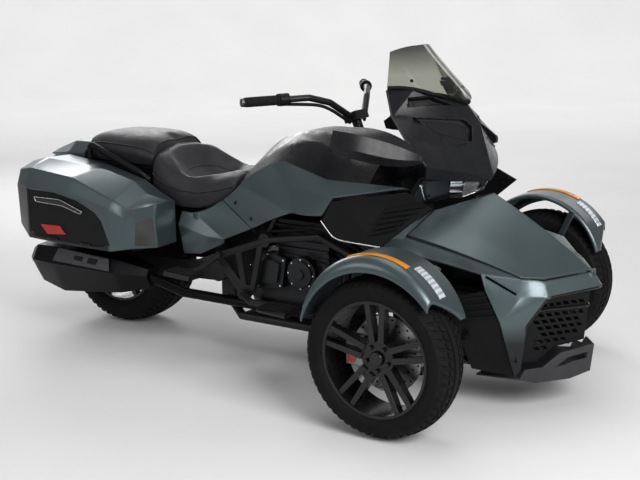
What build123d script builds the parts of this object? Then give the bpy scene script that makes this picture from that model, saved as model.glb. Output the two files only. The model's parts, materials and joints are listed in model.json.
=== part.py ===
from build123d import *
from math import cos, sin, radians, hypot
import os

os.makedirs("parts", exist_ok=True)

# Three-wheeled touring motorcycle: two steered wheels in front, one driven wheel behind.
# Millimetres.  Stations are written from the front axle: X forward, Y left, Z up from the ground.
# The right-hand side (negative Y) is modelled and mirrored.  At export every piece moves forward by
# FRONT_AXLE_X, so the finished model is centred on its own length.

# Overall layout
OVERALL_LENGTH = 2642.0
FRONT_OVERHANG = 505.0
WHEELBASE = 1709.0
FRONT_TRACK = 1308.0
NOSE_HEIGHT = 447.0

# Wheels
FRONT_TYRE_R = 281.0
FRONT_TYRE_W = 165.0
REAR_TYRE_R = 303.0
REAR_TYRE_W = 225.0
TYRE_WALL = 78.0
SHOULDER_DROP = 15.0
SHOULDER_IN = 14.0
RIM_WALL = 10.0
FRONT_RIM_W = 140.0
REAR_RIM_W = 196.0
SPOKE_COUNT = 5
SPOKE_W = 23.0
SPOKE_SPREAD = 17.0
HUB_R = 62.0
FRONT_SPINDLE_R = 16.0
REAR_AXLE_R = 13.0
FRONT_DISC_R = 135.0
REAR_DISC_R = 132.0
DISC_T = 6.0

# Front suspension and steering
KINGPIN_INSET = 100.0
LOWER_ARM_Z = 179.0
UPPER_ARM_Z = 399.0
ARM_TUBE_R = 13.0
ARM_SPREAD = 120.0
STEER_ARM = 120.0
RACK_Z = 262.0
RACK_R = 9.0
SHOCK_SPRING_R = 34.0

# Fenders that turn with the front wheels, and their lamp strips
FENDER_TOP_CLEAR = 76.0
FENDER_END_CLEAR = 24.0
FENDER_W = 190.0
FENDER_WALL = 6.0
LAMP_T = 4.0

# Rear end
SWINGARM_PIVOT_X = -1080.0
SWINGARM_PIVOT_Z = 330.0
SWINGARM_Y = 168.0
SWINGARM_T = 32.0
BELT_Y = 131.0
BELT_W = 22.0
BELT_T = 7.0
REAR_SPROCKET_R = 118.0
FRONT_SPROCKET_R = 52.0
FRONT_SPROCKET_X = -1002.0
PIVOT_PLATE_Y = 102.0
PIVOT_PLATE_T = 24.0
PIVOT_R = 12.0

# Frame
PLATE_Y = 225.0
PLATE_T = 18.0
PLATE_X = 170.0
PLATE_LOW = 150.0
PLATE_TOP = 418.0
PAD_X = 40.0
PAD_T = 12.0
SPINE_W = 90.0
SPINE_LOW = 600.0
SPINE_TOP = 690.0
SPINE_FRONT = -150.0
SPINE_REAR = -985.0
RAIL_Y = 138.0
RAIL_W = 24.0
RAIL_LOW = 602.0
RAIL_TOP = 628.0
RAIL_REAR = -1960.0
CRADLE_Y = 205.0
CRADLE_Z = 172.0
CRADLE_R = 18.0
SIDE_TUBE_Y = 250.0
SIDE_TUBE_R = 14.0
WEB_T = 14.0
POST_X = -210.0
POST_W = 80.0
POST_TOP = 960.0

# Steering column and handlebar
STEER_AXIS_X = -520.0
STEER_AXIS_Z = 968.0
STEER_RAKE = 22.0
COLUMN_R = 19.0
BAR_R = 12.7
GRIP_R = 17.5
GRIP_L = 130.0

# Bodywork
PANEL_WALL = 7.0
PANEL_GAP = 5.0
SCREEN_WALL = 4.0
HEIGHT = 1270.0
BAG_WALL = 6.0
DOOR_GAP = 4.0
DOOR_T = 12.0

PIPE_R = 20.0
GRAB_R = 9.0
HINGE_R = 6.0
HINGE_PIN_R = 3.0

# Fits
RUNNING = 0.3
SEAT_GAP = 0.3

RIM_R = FRONT_TYRE_R - TYRE_WALL
FRONT_AXLE_X = OVERALL_LENGTH / 2 - FRONT_OVERHANG
TAIL_X = FRONT_OVERHANG - OVERALL_LENGTH
WHEEL_Y = FRONT_TRACK / 2
FENDER_TOP_R = FRONT_TYRE_R + FENDER_TOP_CLEAR
FENDER_END_R = FRONT_TYRE_R + FENDER_END_CLEAR
KINGPIN_Y = WHEEL_Y - KINGPIN_INSET
REAR_X = -WHEELBASE


def block(x0, x1, y0, y1, z0, z1):
    """Rectangular block between limits."""
    size = Box(abs(x1 - x0), abs(y1 - y0), abs(z1 - z0))
    return Pos((x0 + x1) / 2, (y0 + y1) / 2, (z0 + z1) / 2) * size


def rod(p, q, r):
    """Round bar from p to q."""
    p, q = Vector(*p), Vector(*q)
    along = q - p
    return Plane(origin=p, z_dir=along) * Cylinder(
        r, along.length, align=(Align.CENTER, Align.CENTER, Align.MIN))


def pipe(points, r):
    """Round tube through points, with ball corners."""
    run = rod(points[0], points[1], r)
    for p, q in zip(points[1:], points[2:]):
        run = run + Pos(*p) * Sphere(r) + rod(p, q, r)
    return run


def beam(p, q, w, h):
    """Rectangular bar from p to q, w across (level) and h deep."""
    p, q = Vector(*p), Vector(*q)
    along = q - p
    d = along.normalized()
    side = Vector(0, 0, 1).cross(d)
    side = side.normalized() if side.length > 1e-6 else Vector(0, 1, 0)
    return Plane(origin=p, x_dir=side, z_dir=d) * Box(
        w, h, along.length, align=(Align.CENTER, Align.CENTER, Align.MIN))


def disc_y(x, y0, y1, z, r):
    """Cylinder with its axis along Y."""
    return Pos(x, (y0 + y1) / 2, z) * Rot(90, 0, 0) * Cylinder(r, abs(y1 - y0))


def disc_z(x, y, z0, z1, r):
    """Upright cylinder."""
    return Pos(x, y, (z0 + z1) / 2) * Cylinder(r, abs(z1 - z0))


def stations(sections, ruled=True):
    """Loft through closed outlines given as (x, [(y, z), ...])."""
    wires = [Wire.make_polygon([(x, y, z) for y, z in pts], close=True) for x, pts in sections]
    return Solid.make_loft(wires, ruled)


def mirrored(half):
    """Complete a half outline of (y, z) points across the centre plane."""
    return half + [(-y, z) for y, z in reversed(half) if y != 0]


def left(shape):
    return mirror(shape, about=Plane.XZ)


def pair(shape):
    """A right-hand piece and its mirror image, as two solids of one node."""
    return Compound(children=[shape.solid(), left(shape).solid()])


def biggest(shape):
    """The main body of a cut, without the crumbs that fall off."""
    return shape.solids().sort_by(SortBy.VOLUME)[-1]


def turned(profile):
    """Revolve a closed (radius, y) profile about the Y axis."""
    face = make_face(Polyline(*[(r, y) for r, y in profile], close=True))
    return revolve(face, Axis.Y)


def along(p, q, t):
    """The point a share t of the way from p to q."""
    return tuple(a + (b - a) * t for a, b in zip(p, q))


def through(points, toward, near, far):
    """Prism on the plane nearest to some points, between two offsets along a direction."""
    spots = [Vector(*p) for p in points]
    middle = sum(spots, Vector(0, 0, 0)) / len(spots)
    plane = Plane(origin=middle + Vector(*toward).normalized() * near, z_dir=Vector(*toward))
    flat = [plane.to_local_coords(p) for p in spots]
    outline = make_face(Polyline(*[(p.X, p.Y) for p in flat], close=True))
    return extrude(plane * outline, far - near)


def spread(points, grow):
    """Move points away from their middle, or towards it."""
    spots = [Vector(*p) for p in points]
    middle = sum(spots, Vector(0, 0, 0)) / len(spots)
    return [tuple(p + (p - middle).normalized() * grow) for p in spots]


def sheet(points, faces, wall, core, symmetric=False, bows=None):
    """Folded sheet of flat and ruled facets between named corners, thickened inwards.

    Each face is a string of three or four corner names.  bows gives the edges that are arcs, by how
    far an edge's middle stands off its chord; in a four-cornered face they are its first and third
    sides.  core is a point behind the sheet; symmetric adds the mirror image.
    """
    spots = {name: Vector(*p) for name, p in points.items()}
    folds = [face.split() for face in faces]
    arcs = {tuple(ends.split()): Vector(*rise) for ends, rise in (bows or {}).items()}
    if symmetric:
        twin = {}
        for name, p in list(spots.items()):
            twin[name] = name if abs(p.Y) < 1e-6 else name + "*"
            spots[twin[name]] = Vector(p.X, -p.Y, p.Z)
        folds += [[twin[name] for name in fold] for fold in folds]
        for (a, b), rise in list(arcs.items()):
            arcs[(twin[a], twin[b])] = Vector(rise.X, -rise.Y, rise.Z)
    core = Vector(*core)
    normals = {name: Vector(0, 0, 0) for name in spots}
    oriented = []
    for fold in folds:
        corner = [spots[name] for name in fold]
        normal = (corner[2] - corner[0]).cross(corner[-1] - corner[1])
        if normal.dot(corner[0] - core) < 0:
            fold, normal = fold[::-1], normal * -1
        oriented.append(fold)
        for name in fold:
            normals[name] = normals[name] + normal
    inside = {name: p - normals[name].normalized() * wall for name, p in spots.items()}

    def edge(where, a, b):
        rise = arcs.get((a, b)) or arcs.get((b, a))
        if rise is None:
            return Edge.make_line(where[a], where[b])
        return Edge.make_three_point_arc(where[a], (where[a] + where[b]) / 2 + rise, where[b])

    def facet(where, fold):
        corner = [where[name] for name in fold]
        if len(fold) == 3:
            return Face(Wire.make_polygon(corner, close=True))
        a, b, c, d = fold
        return Face.make_surface_from_curves(edge(where, a, b), edge(where, d, c))

    skins = [facet(where, fold) for fold in oriented for where in (spots, inside)]
    sides = {(a, b) for fold in oriented for a, b in zip(fold, fold[1:] + fold[:1])}
    for a, b in sorted(sides):
        if (b, a) not in sides:
            skins.append(Face.make_surface_from_curves(edge(spots, a, b), edge(inside, a, b)))
    return Solid(Shell(skins))


def save(shape, name):
    shape = shape.moved(Location((FRONT_AXLE_X, 0, 0)))
    shape.label = name
    export_step(shape, "parts/" + name + ".step")


# Wheels, modelled about the Y axis at the origin with the outer face towards -Y
def tyre(radius, width, rim_w):
    """Rubber ring with bulged sidewalls and a slightly crowned tread."""
    half, bead = width / 2, rim_w / 2
    bore = RIM_R + RUNNING
    bulge = bore + 0.46 * (radius - bore)
    shoulder = (radius - SHOULDER_DROP, half - SHOULDER_IN)
    near = ThreePointArc((bore, bead), (bulge, half), shoulder)
    crown = ThreePointArc(shoulder, (radius, 0), (shoulder[0], -shoulder[1]))
    far = ThreePointArc((shoulder[0], -shoulder[1]), (bulge, -half), (bore, -bead))
    return revolve(make_face([near, crown, far, Line((bore, -bead), (bore, bead))]), Axis.Y)


def rim(rim_w, hub_in, hub_out, bore_r, face_out, face_hub):
    """Barrel, hub and twin spokes that dish from the hub out to the lip."""
    half = rim_w / 2
    inner = RIM_R - RIM_WALL
    body = turned([(inner, -half), (RIM_R, -half), (RIM_R, half), (inner, half)])
    body = body + disc_y(0, hub_out, hub_in, 0, HUB_R)
    root, tip = HUB_R - 6, inner + 3
    for n in range(SPOKE_COUNT):
        for hand in (-1, 1):
            base = Wire.make_polygon([
                (hand * SPOKE_SPREAD - SPOKE_W / 2, face_hub, root),
                (hand * SPOKE_SPREAD + SPOKE_W / 2, face_hub, root),
                (hand * SPOKE_SPREAD + SPOKE_W / 2, face_hub + 40, root),
                (hand * SPOKE_SPREAD - SPOKE_W / 2, face_hub + 40, root)], close=True)
            reach = hand * SPOKE_SPREAD * 1.75
            end = Wire.make_polygon([
                (reach - SPOKE_W * 0.4, face_out, tip),
                (reach + SPOKE_W * 0.4, face_out, tip),
                (reach + SPOKE_W * 0.4, face_out + 30, tip),
                (reach - SPOKE_W * 0.4, face_out + 30, tip)], close=True)
            spoke = Solid.make_loft([base, end], True)
            body = body + Rot(0, 360.0 / SPOKE_COUNT * n, 0) * spoke
    return (body - disc_y(0, hub_out - 50, hub_in + 50, 0, bore_r)).solid()


FRONT_HUB_OUT = -42.0
FRONT_HUB_IN = 20.0
DISC_IN = FRONT_HUB_IN + DISC_T
front_centre = Pos(0, -WHEEL_Y, FRONT_TYRE_R)
front_tyre = front_centre * tyre(FRONT_TYRE_R, FRONT_TYRE_W, FRONT_RIM_W)
front_rim = front_centre * rim(FRONT_RIM_W, FRONT_HUB_IN, FRONT_HUB_OUT,
                               FRONT_SPINDLE_R + RUNNING, -FRONT_RIM_W / 2 + 6, FRONT_HUB_OUT - 8)
front_disc = front_centre * (
    disc_y(0, FRONT_HUB_IN, DISC_IN, 0, FRONT_DISC_R)
    - disc_y(0, FRONT_HUB_IN - 1, DISC_IN + 1, 0, FRONT_SPINDLE_R + 14))

# Knuckle: upright post on the kingpin line, spindle through the hub, steering arm behind
LUG_R = 21.0
BALL_H = 28.0
JOINT_GAP = 0.5
POST_LOW = LOWER_ARM_Z + BALL_H / 2 + JOINT_GAP
POST_HIGH = UPPER_ARM_Z - BALL_H / 2 - JOINT_GAP
STUB_Y = -WHEEL_Y + DISC_IN + 12
knuckle = disc_z(0, -KINGPIN_Y, POST_LOW, POST_HIGH, LUG_R)
knuckle += disc_y(0, -KINGPIN_Y, STUB_Y, FRONT_TYRE_R, 40)
knuckle += disc_y(0, STUB_Y, -WHEEL_Y + FRONT_HUB_OUT - 4, FRONT_TYRE_R, FRONT_SPINDLE_R)
knuckle += beam((0, -KINGPIN_Y, RACK_Z - 26), (-STEER_ARM, -KINGPIN_Y, RACK_Z - 26), 22, 14)
EYE_HALF = RACK_R + 3
EYE_TOP = RACK_Z - EYE_HALF - JOINT_GAP
knuckle += disc_z(-STEER_ARM, -KINGPIN_Y, RACK_Z - 34, EYE_TOP, 15)
# Bracket that carries the fender's stays inboard of the tyre
STAY_Y = -WHEEL_Y + FRONT_TYRE_W / 2 + 12
STAY_T = 12.0
BRACKET_Z = FRONT_TYRE_R + 62
knuckle += block(-56, 56, -KINGPIN_Y + 16, STAY_Y + STAY_T / 2, BRACKET_Z - 15, BRACKET_Z + 15)
knuckle = knuckle.solid()

caliper_y = -WHEEL_Y + (FRONT_HUB_IN + DISC_IN) / 2
caliper = block(-150, -82, caliper_y - 24, caliper_y + 24, FRONT_TYRE_R - 52, FRONT_TYRE_R + 52)
caliper -= block(-FRONT_DISC_R - 4, -60, caliper_y - DISC_T, caliper_y + DISC_T,
                 FRONT_TYRE_R - 60, FRONT_TYRE_R + 60)
caliper += block(-82, -30, caliper_y + DISC_T + 2, caliper_y + 24, FRONT_TYRE_R + 2, FRONT_TYRE_R + 30)
caliper = (caliper - disc_y(0, -KINGPIN_Y + 30, STUB_Y - 1, FRONT_TYRE_R, 40 + SEAT_GAP)).solid()

# Fender: a channel that arches over the tyre, tighter at its two tips, with lamp strips on its crown
FENDER_TIP = 30.0
FENDER_HEEL = 160.0
FENDER_STEPS = 7
FENDER_IN = -WHEEL_Y + FENDER_W / 2 - 1
FENDER_OUT = FENDER_IN - FENDER_W
CREST_IN = 16.0
CREST_OUT = 34.0
ROUND = 0.29


def fender_loft(outline):
    """Loft an outline round the wheel; it is drawn for each radius and lift by (y, radius) spots."""
    wires = []
    for n in range(FENDER_STEPS):
        share = n / (FENDER_STEPS - 1)
        angle = radians(FENDER_TIP + (FENDER_HEEL - FENDER_TIP) * share)
        lift = sin(radians(180.0 * share))
        r = FENDER_END_R + (FENDER_TOP_R - FENDER_END_R) * lift

        def spot(y, q, turn=angle):
            return (q * cos(turn), y, FRONT_TYRE_R + q * sin(turn))

        wires.append(outline(spot, r, lift))
    return Solid.make_loft(wires, False)


def fender_outline(spot, r, lift):
    """Flat crown with a rounded inner corner and a rounded outer face, one wall thick."""
    drop = 14 + 38 * lift
    wall = FENDER_WALL
    crest, brow = FENDER_IN - CREST_IN, FENDER_OUT + CREST_OUT
    lip, under = (FENDER_OUT + wall, r - drop - 3), (brow + 2, r - wall)
    hem, over = (FENDER_IN - wall, r - CREST_IN - 3), (crest - 2, r - wall)

    def corner(a, b):
        """Rounded corner from a, level there, to b."""
        middle = (b[0] + (a[0] - b[0]) * ROUND, a[1] + (b[1] - a[1]) * ROUND)
        return Edge.make_three_point_arc(spot(*a), spot(*middle), spot(*b))

    return Wire([
        Edge.make_line(spot(crest, r), spot(brow, r)), corner((brow, r), (FENDER_OUT, r - drop)),
        Edge.make_line(spot(FENDER_OUT, r - drop), spot(*lip)), corner(under, lip),
        Edge.make_line(spot(*under), spot(*over)), corner(over, hem),
        Edge.make_line(spot(*hem), spot(FENDER_IN, r - CREST_IN)), corner((crest, r), (FENDER_IN, r - CREST_IN))])


def lamp_strip(y0, y1, start, end):
    """A lens strip on the fender's crown between two angles round the wheel."""
    strip = fender_loft(lambda spot, r, lift: Wire.make_polygon([
        spot(y0, r + SEAT_GAP), spot(y1, r + SEAT_GAP), spot(y1 - 3, r + SEAT_GAP + LAMP_T),
        spot(y0 + 3, r + SEAT_GAP + LAMP_T)], close=True))
    reach = 2 * FENDER_TOP_R
    fan = make_face(Polyline((0, FRONT_TYRE_R), *[
        (reach * cos(radians(a)), FRONT_TYRE_R + reach * sin(radians(a))) for a in (start, end)], close=True))
    return (strip & extrude(Plane.XZ * fan, 2 * WHEEL_Y, both=True)).solid()


# The front end is cut aslant, so that its inner corner makes the tip
TIP_X = 272.0
TIP_BACK = 58.0
tip_cut = make_face(Polyline((TIP_X - TIP_BACK, FENDER_OUT - 2), (TIP_X, FENDER_IN + 2), (2 * TIP_X, FENDER_IN + 2),
                             (2 * TIP_X, FENDER_OUT - 2), close=True))
fender = fender_loft(fender_outline)
fender = biggest(fender - extrude(tip_cut, 2 * FENDER_TOP_R))
for run in (-1, 1):
    fender = fender + beam((run * 40, STAY_Y, BRACKET_Z), (run * 150, STAY_Y, FRONT_TYRE_R + FENDER_TOP_R - 52),
                           STAY_T, 24)
fender = fender.solid()
amber_strip = lamp_strip(FENDER_OUT + CREST_OUT + 2, FENDER_OUT + CREST_OUT + 30, 70, 108)
clear_strip = lamp_strip(FENDER_OUT + CREST_OUT + 34, FENDER_OUT + CREST_OUT + 74, 46, 68)

# Suspension arms and coil-over dampers
def wishbone(z, y_in):
    arm = disc_z(0, -KINGPIN_Y, z - BALL_H / 2, z + BALL_H / 2, LUG_R)
    for run in (-1, 1):
        arm += rod((0, -KINGPIN_Y + 6, z), (run * ARM_SPREAD, -y_in, z), ARM_TUBE_R)
        arm += Pos(run * ARM_SPREAD, -y_in, z) * Rot(0, 90, 0) * Cylinder(ARM_TUBE_R + 4, 36)
    return (arm - block(-PLATE_X - 40, PLATE_X + 40, -PLATE_Y, 0, z - 60, z + 60)).solid()


lower_arm = wishbone(LOWER_ARM_Z, PLATE_Y + 5)
upper_arm = wishbone(UPPER_ARM_Z, PLATE_Y + 5)
SHOCK_FOOT = (0, -KINGPIN_Y + 92, LOWER_ARM_Z + 22)
SHOCK_HEAD = (0, -318, 528)
shock_axis = Plane(origin=Vector(*SHOCK_FOOT), z_dir=Vector(*SHOCK_HEAD) - Vector(*SHOCK_FOOT))
shock_len = (Vector(*SHOCK_HEAD) - Vector(*SHOCK_FOOT)).length
lower_arm = (lower_arm + beam((-48, SHOCK_FOOT[1], LOWER_ARM_Z), (48, SHOCK_FOOT[1], LOWER_ARM_Z), 26, 20)
             ).solid()


def coil_over(length, spring_r, coils):
    """Damper with its spring, drawn as a turned body with one rib for each coil."""
    low, high = 46.0, length - 30.0
    pitch = (high - low) / coils
    outline = [(0, 12), (16, 12), (16, low - 6), (spring_r, low - 6), (spring_r, low)]
    for n in range(coils):
        z = low + n * pitch
        outline += [(spring_r - 11, z + 0.05 * pitch), (spring_r - 11, z + 0.4 * pitch),
                    (spring_r, z + 0.5 * pitch), (spring_r, z + 0.9 * pitch)]
    outline += [(spring_r - 11, high), (spring_r, high + 1), (spring_r, high + 8), (15, high + 8),
                (15, length), (0, length)]
    face = make_face(Polyline(*[(r, 0, z) for r, z in outline], close=True))
    return revolve(face, Axis.Z)


shock = shock_axis * coil_over(shock_len, SHOCK_SPRING_R, 7)
shock = (shock + shock_axis * Cylinder(13, 24)).solid()
shock = (shock - block(-80, 80, SHOCK_FOOT[1] - 60, SHOCK_FOOT[1] + 60, 100, LOWER_ARM_Z + 10)
         - block(-80, 80, -420, -220, SHOCK_HEAD[2], SHOCK_HEAD[2] + 90)).solid()

# Rack bar that carries both tie-rod eyes
rack = rod((-STEER_ARM, -KINGPIN_Y, RACK_Z), (-STEER_ARM, KINGPIN_Y, RACK_Z), RACK_R)
for hand in (-1, 1):
    rack += disc_z(-STEER_ARM, hand * KINGPIN_Y, RACK_Z - EYE_HALF, RACK_Z + EYE_HALF, 15)
    rack += rod((-STEER_ARM, hand * 330, RACK_Z), (-STEER_ARM, hand * 290, RACK_Z), 15)
rack = rack.solid()

# Frame: front box, spine, seat rails, cradle and fairing post
frame = None
for hand in (-1, 1):
    y0, y1 = hand * PLATE_Y, hand * (PLATE_Y - PLATE_T)
    plate = block(-PLATE_X, PLATE_X, y0, y1, PLATE_LOW, PLATE_TOP)
    for x in (-70, 70):
        plate -= block(x - 45, x + 45, y0 - hand * 5, y1 + hand * 5, PLATE_LOW + 55, PLATE_TOP - 45)
    tower = beam((0, hand * (PLATE_Y - 8), PLATE_TOP - 14), (0, hand * 285, 545), 26, 36)
    tower -= block(-100, 100, hand * 100, hand * (PLATE_Y - PLATE_T), 300, 700)
    foot = block(-30, 30, hand * 268, hand * 345, SHOCK_HEAD[2] + SEAT_GAP, SHOCK_HEAD[2] + 20)
    pad = block(-PAD_X, PAD_X, y0 + hand * 8, y1, PLATE_LOW - PAD_T, PLATE_LOW)
    side = plate + tower + foot + pad
    side += beam((-PLATE_X + 20, hand * (PLATE_Y - 15), PLATE_TOP - 20), (SPINE_FRONT - 60, hand * 30, 640),
                 18, 40)
    side += pipe([(-PLATE_X + 10, hand * (PLATE_Y - 9), CRADLE_Z), (-330, hand * CRADLE_Y, CRADLE_Z),
                  (-940, hand * CRADLE_Y, CRADLE_Z), (SWINGARM_PIVOT_X, hand * PIVOT_PLATE_Y, CRADLE_Z + 34)],
                 CRADLE_R)
    rail_in, rail_out = hand * (RAIL_Y - RAIL_W / 2), hand * (RAIL_Y + RAIL_W / 2)
    side += block(RAIL_REAR, SPINE_REAR + 10, rail_in, rail_out, RAIL_LOW, RAIL_TOP)
    side += block(SWINGARM_PIVOT_X - 34, SWINGARM_PIVOT_X + 34, hand * (PIVOT_PLATE_Y - PIVOT_PLATE_T / 2),
                  hand * (PIVOT_PLATE_Y + PIVOT_PLATE_T / 2), CRADLE_Z + 16, RAIL_TOP)
    side += block(SWINGARM_PIVOT_X - 34, SWINGARM_PIVOT_X + 34, 0, rail_out, RAIL_LOW, RAIL_TOP)
    side += pipe([(-PLATE_X + 8, hand * (PLATE_Y - 9), 350), (-320, hand * 246, 470),
                  (-532, hand * SIDE_TUBE_Y, 552), (-785, hand * SIDE_TUBE_Y, 510),
                  (-1027, hand * SIDE_TUBE_Y, 418)], SIDE_TUBE_R)
    side += disc_y(-785, hand * (SIDE_TUBE_Y - 22), hand * (SIDE_TUBE_Y + 10), 510, 27)
    side += beam((-800, hand * SIDE_TUBE_Y, 510), (-870, hand * 20, 632), 22, 30)
    side += beam((-1020, hand * SIDE_TUBE_Y, 420), (SWINGARM_PIVOT_X, hand * PIVOT_PLATE_Y, 440), 22, 30)
    web = make_face(Polyline((-1034, 414), (-790, 508), (-838, 304), (-872, 258), (-908, 262), (-928, 292),
                             close=True))
    web -= make_face(Polyline((-992, 414), (-930, 438), (-905, 330), close=True))
    web -= make_face(Polyline((-902, 448), (-822, 478), (-858, 318), (-880, 318), close=True))
    side += Pos(0, hand * SIDE_TUBE_Y, 0) * extrude(Plane.XZ * web, WEB_T / 2, both=True)
    frame = side if frame is None else frame + side
for x in (-PLATE_X + 20, PLATE_X - 20):
    frame += block(x - 20, x + 20, -PLATE_Y + 4, PLATE_Y - 4, PLATE_LOW, PLATE_LOW + 30)
    frame += block(x - 20, x + 20, -PLATE_Y + 4, PLATE_Y - 4, PLATE_TOP - 25, PLATE_TOP)
frame += block(SPINE_REAR, SPINE_FRONT, -SPINE_W / 2, SPINE_W / 2, SPINE_LOW, SPINE_TOP)
frame += block(SPINE_REAR, SPINE_REAR + 40, -RAIL_Y - RAIL_W / 2, RAIL_Y + RAIL_W / 2, RAIL_LOW, SPINE_TOP)
frame += block(RAIL_REAR, RAIL_REAR + 30, -RAIL_Y, RAIL_Y, RAIL_LOW, RAIL_TOP)
ENGINE_LOW = 190.0
FIN_COUNT = 5
FIN_PITCH = 30.0
FIN_T = 9.0
CLUTCH_COVER = [(-895, 392), (-801, 455), (-715, 436), (-733, 316), (-858, 299)]
CLUTCH_PLATE = [(-872, 386), (-801, 430), (-738, 416), (-752, 336), (-846, 324)]
for x in (-540, -900):
    frame += block(x - 22, x + 22, -CRADLE_Y, CRADLE_Y, ENGINE_LOW - 30, ENGINE_LOW)
frame += block(POST_X - 20, POST_X + 20, -POST_W / 2, POST_W / 2, SPINE_TOP - 20, POST_TOP)
rake = Location((STEER_AXIS_X, 0, STEER_AXIS_Z), (0, -STEER_RAKE, 0))
HEAD_TOP = -100.0
HEAD_LOW = -325.0
head = Pos(0, 0, (HEAD_TOP + HEAD_LOW) / 2) * Cylinder(COLUMN_R + 14, HEAD_TOP - HEAD_LOW)
frame += rake * head
frame -= rake * Pos(0, 0, (HEAD_TOP + HEAD_LOW) / 2 + 12) * Cylinder(COLUMN_R + RUNNING, HEAD_TOP - HEAD_LOW)
rack_shell = rod((-STEER_ARM, -200, RACK_Z), (-STEER_ARM, 200, RACK_Z), 24)
rack_shell += block(-STEER_ARM - 20, -STEER_ARM + 20, -60, 60, PLATE_LOW + 10, RACK_Z)
rack_shell += block(-PLATE_X + 10, -STEER_ARM, -60, 60, PLATE_LOW + 4, PLATE_LOW + 26)
frame += rack_shell
frame -= rod((-STEER_ARM, -300, RACK_Z), (-STEER_ARM, 300, RACK_Z), RACK_R + RUNNING)
frame = frame.solid()

# Engine: crankcase, inclined cylinder block, clutch and generator covers
engine = stations([
    (-505, [(-150, 225), (-120, ENGINE_LOW), (120, ENGINE_LOW), (150, 225), (165, 400), (-165, 400)]),
    (-560, [(-178, 235), (-140, ENGINE_LOW), (140, ENGINE_LOW), (178, 235), (182, 430), (-182, 430)]),
    (-860, [(-178, 235), (-140, ENGINE_LOW), (140, ENGINE_LOW), (178, 235), (176, 450), (-176, 450)]),
    (-935, [(-140, 245), (-110, ENGINE_LOW), (110, ENGINE_LOW), (140, 245), (140, 400), (-140, 400)])])
engine += block(-780, -540, -170, 170, 400, 585)
for n in range(FIN_COUNT):
    z = 438 + n * FIN_PITCH
    engine += block(-786, -540, -180, 180, z, z + FIN_T)
for r, face_y in ((66, -216), (52, -226), (20, -234)):
    engine += disc_y(-641, face_y, -170, 384, r)
for outline, face_y in ((CLUTCH_COVER, -214), (CLUTCH_PLATE, -226)):
    engine += through([(x, 0, z) for x, z in outline], (0, -1, 0), 170, -face_y)
engine += disc_y(-690, 170, 214, 340, 80)
engine += disc_y(FRONT_SPROCKET_X, BELT_Y - BELT_W / 2 - 2, BELT_Y + BELT_W / 2 + 2, SWINGARM_PIVOT_Z,
                 FRONT_SPROCKET_R)
engine += disc_y(FRONT_SPROCKET_X, 90, BELT_Y, SWINGARM_PIVOT_Z, 22)
engine += block(FRONT_SPROCKET_X - 26, -900, 30, 108, SWINGARM_PIVOT_Z - 30, SWINGARM_PIVOT_Z + 30)
engine = engine.solid()

# Swingarm with the fixed rear axle
PIVOT_IN = PIVOT_PLATE_Y - PIVOT_PLATE_T / 2 - 1
swingarm = disc_y(SWINGARM_PIVOT_X, -PIVOT_IN, PIVOT_IN, SWINGARM_PIVOT_Z, 24)
for hand in (-1, 1):
    y = hand * SWINGARM_Y
    swingarm += beam((SWINGARM_PIVOT_X - 10, y, SWINGARM_PIVOT_Z), (REAR_X - 34, y, REAR_TYRE_R), SWINGARM_T, 74)
    swingarm += disc_y(SWINGARM_PIVOT_X, y - SWINGARM_T / 2, y + SWINGARM_T / 2, SWINGARM_PIVOT_Z, 40)
swingarm += disc_y(REAR_X, -SWINGARM_Y, SWINGARM_Y, REAR_TYRE_R, REAR_AXLE_R)
swingarm += disc_y(SWINGARM_PIVOT_X, -SWINGARM_Y, SWINGARM_Y, SWINGARM_PIVOT_Z, PIVOT_R)
frame = (frame - disc_y(SWINGARM_PIVOT_X, -SWINGARM_Y, SWINGARM_Y, SWINGARM_PIVOT_Z, PIVOT_R + RUNNING)).solid()
CROSS_X = SWINGARM_PIVOT_X - 150
swingarm += block(CROSS_X - 25, CROSS_X + 25, -SWINGARM_Y, SWINGARM_Y, SWINGARM_PIVOT_Z - 30,
                  SWINGARM_PIVOT_Z + 14)
swingarm = swingarm.solid()

frame = (frame + block(CROSS_X + 30, CROSS_X + 90, -RAIL_Y, RAIL_Y, RAIL_LOW, RAIL_TOP)).solid()
rear_len = RAIL_LOW - SWINGARM_PIVOT_Z - 14 - 2 * SEAT_GAP
rear_shock = Pos(CROSS_X + 22, 0, SWINGARM_PIVOT_Z + 14 + SEAT_GAP) * coil_over(rear_len, 36, 6)
rear_shock = (rear_shock + Pos(CROSS_X + 22, 0, SWINGARM_PIVOT_Z + 14 + SEAT_GAP) * Cylinder(
    16, 40, align=(Align.CENTER, Align.CENTER, Align.MIN))).solid()

# Rear wheel with belt sprocket and brake disc
rear_centre = Pos(REAR_X, 0, REAR_TYRE_R)
REAR_HUB = 96.0
rear_tyre = rear_centre * tyre(REAR_TYRE_R, REAR_TYRE_W, REAR_RIM_W)
rear_rim = rear_centre * rim(REAR_RIM_W, REAR_HUB, -REAR_HUB, REAR_AXLE_R + RUNNING, -REAR_RIM_W / 2 + 6,
                             -REAR_HUB + 4)
SPROCKET_IN = BELT_Y - BELT_W / 2 - 3
sprocket = rear_centre * (
    disc_y(0, SPROCKET_IN, BELT_Y + BELT_W / 2 + 1, 0, REAR_SPROCKET_R)
    + disc_y(0, REAR_HUB, SPROCKET_IN, 0, 55)
    - disc_y(0, REAR_HUB - 5, BELT_Y + 30, 0, REAR_AXLE_R + RUNNING))
sprocket = sprocket.solid()
REAR_DISC_Y = -BELT_Y
rear_disc = rear_centre * (
    disc_y(0, REAR_DISC_Y - DISC_T / 2, REAR_DISC_Y + DISC_T / 2, 0, REAR_DISC_R)
    + disc_y(0, -REAR_HUB, REAR_DISC_Y, 0, 55)
    - disc_y(0, -REAR_HUB + 5, REAR_DISC_Y - 30, 0, REAR_AXLE_R + RUNNING))
rear_disc = rear_disc.solid()

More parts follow.
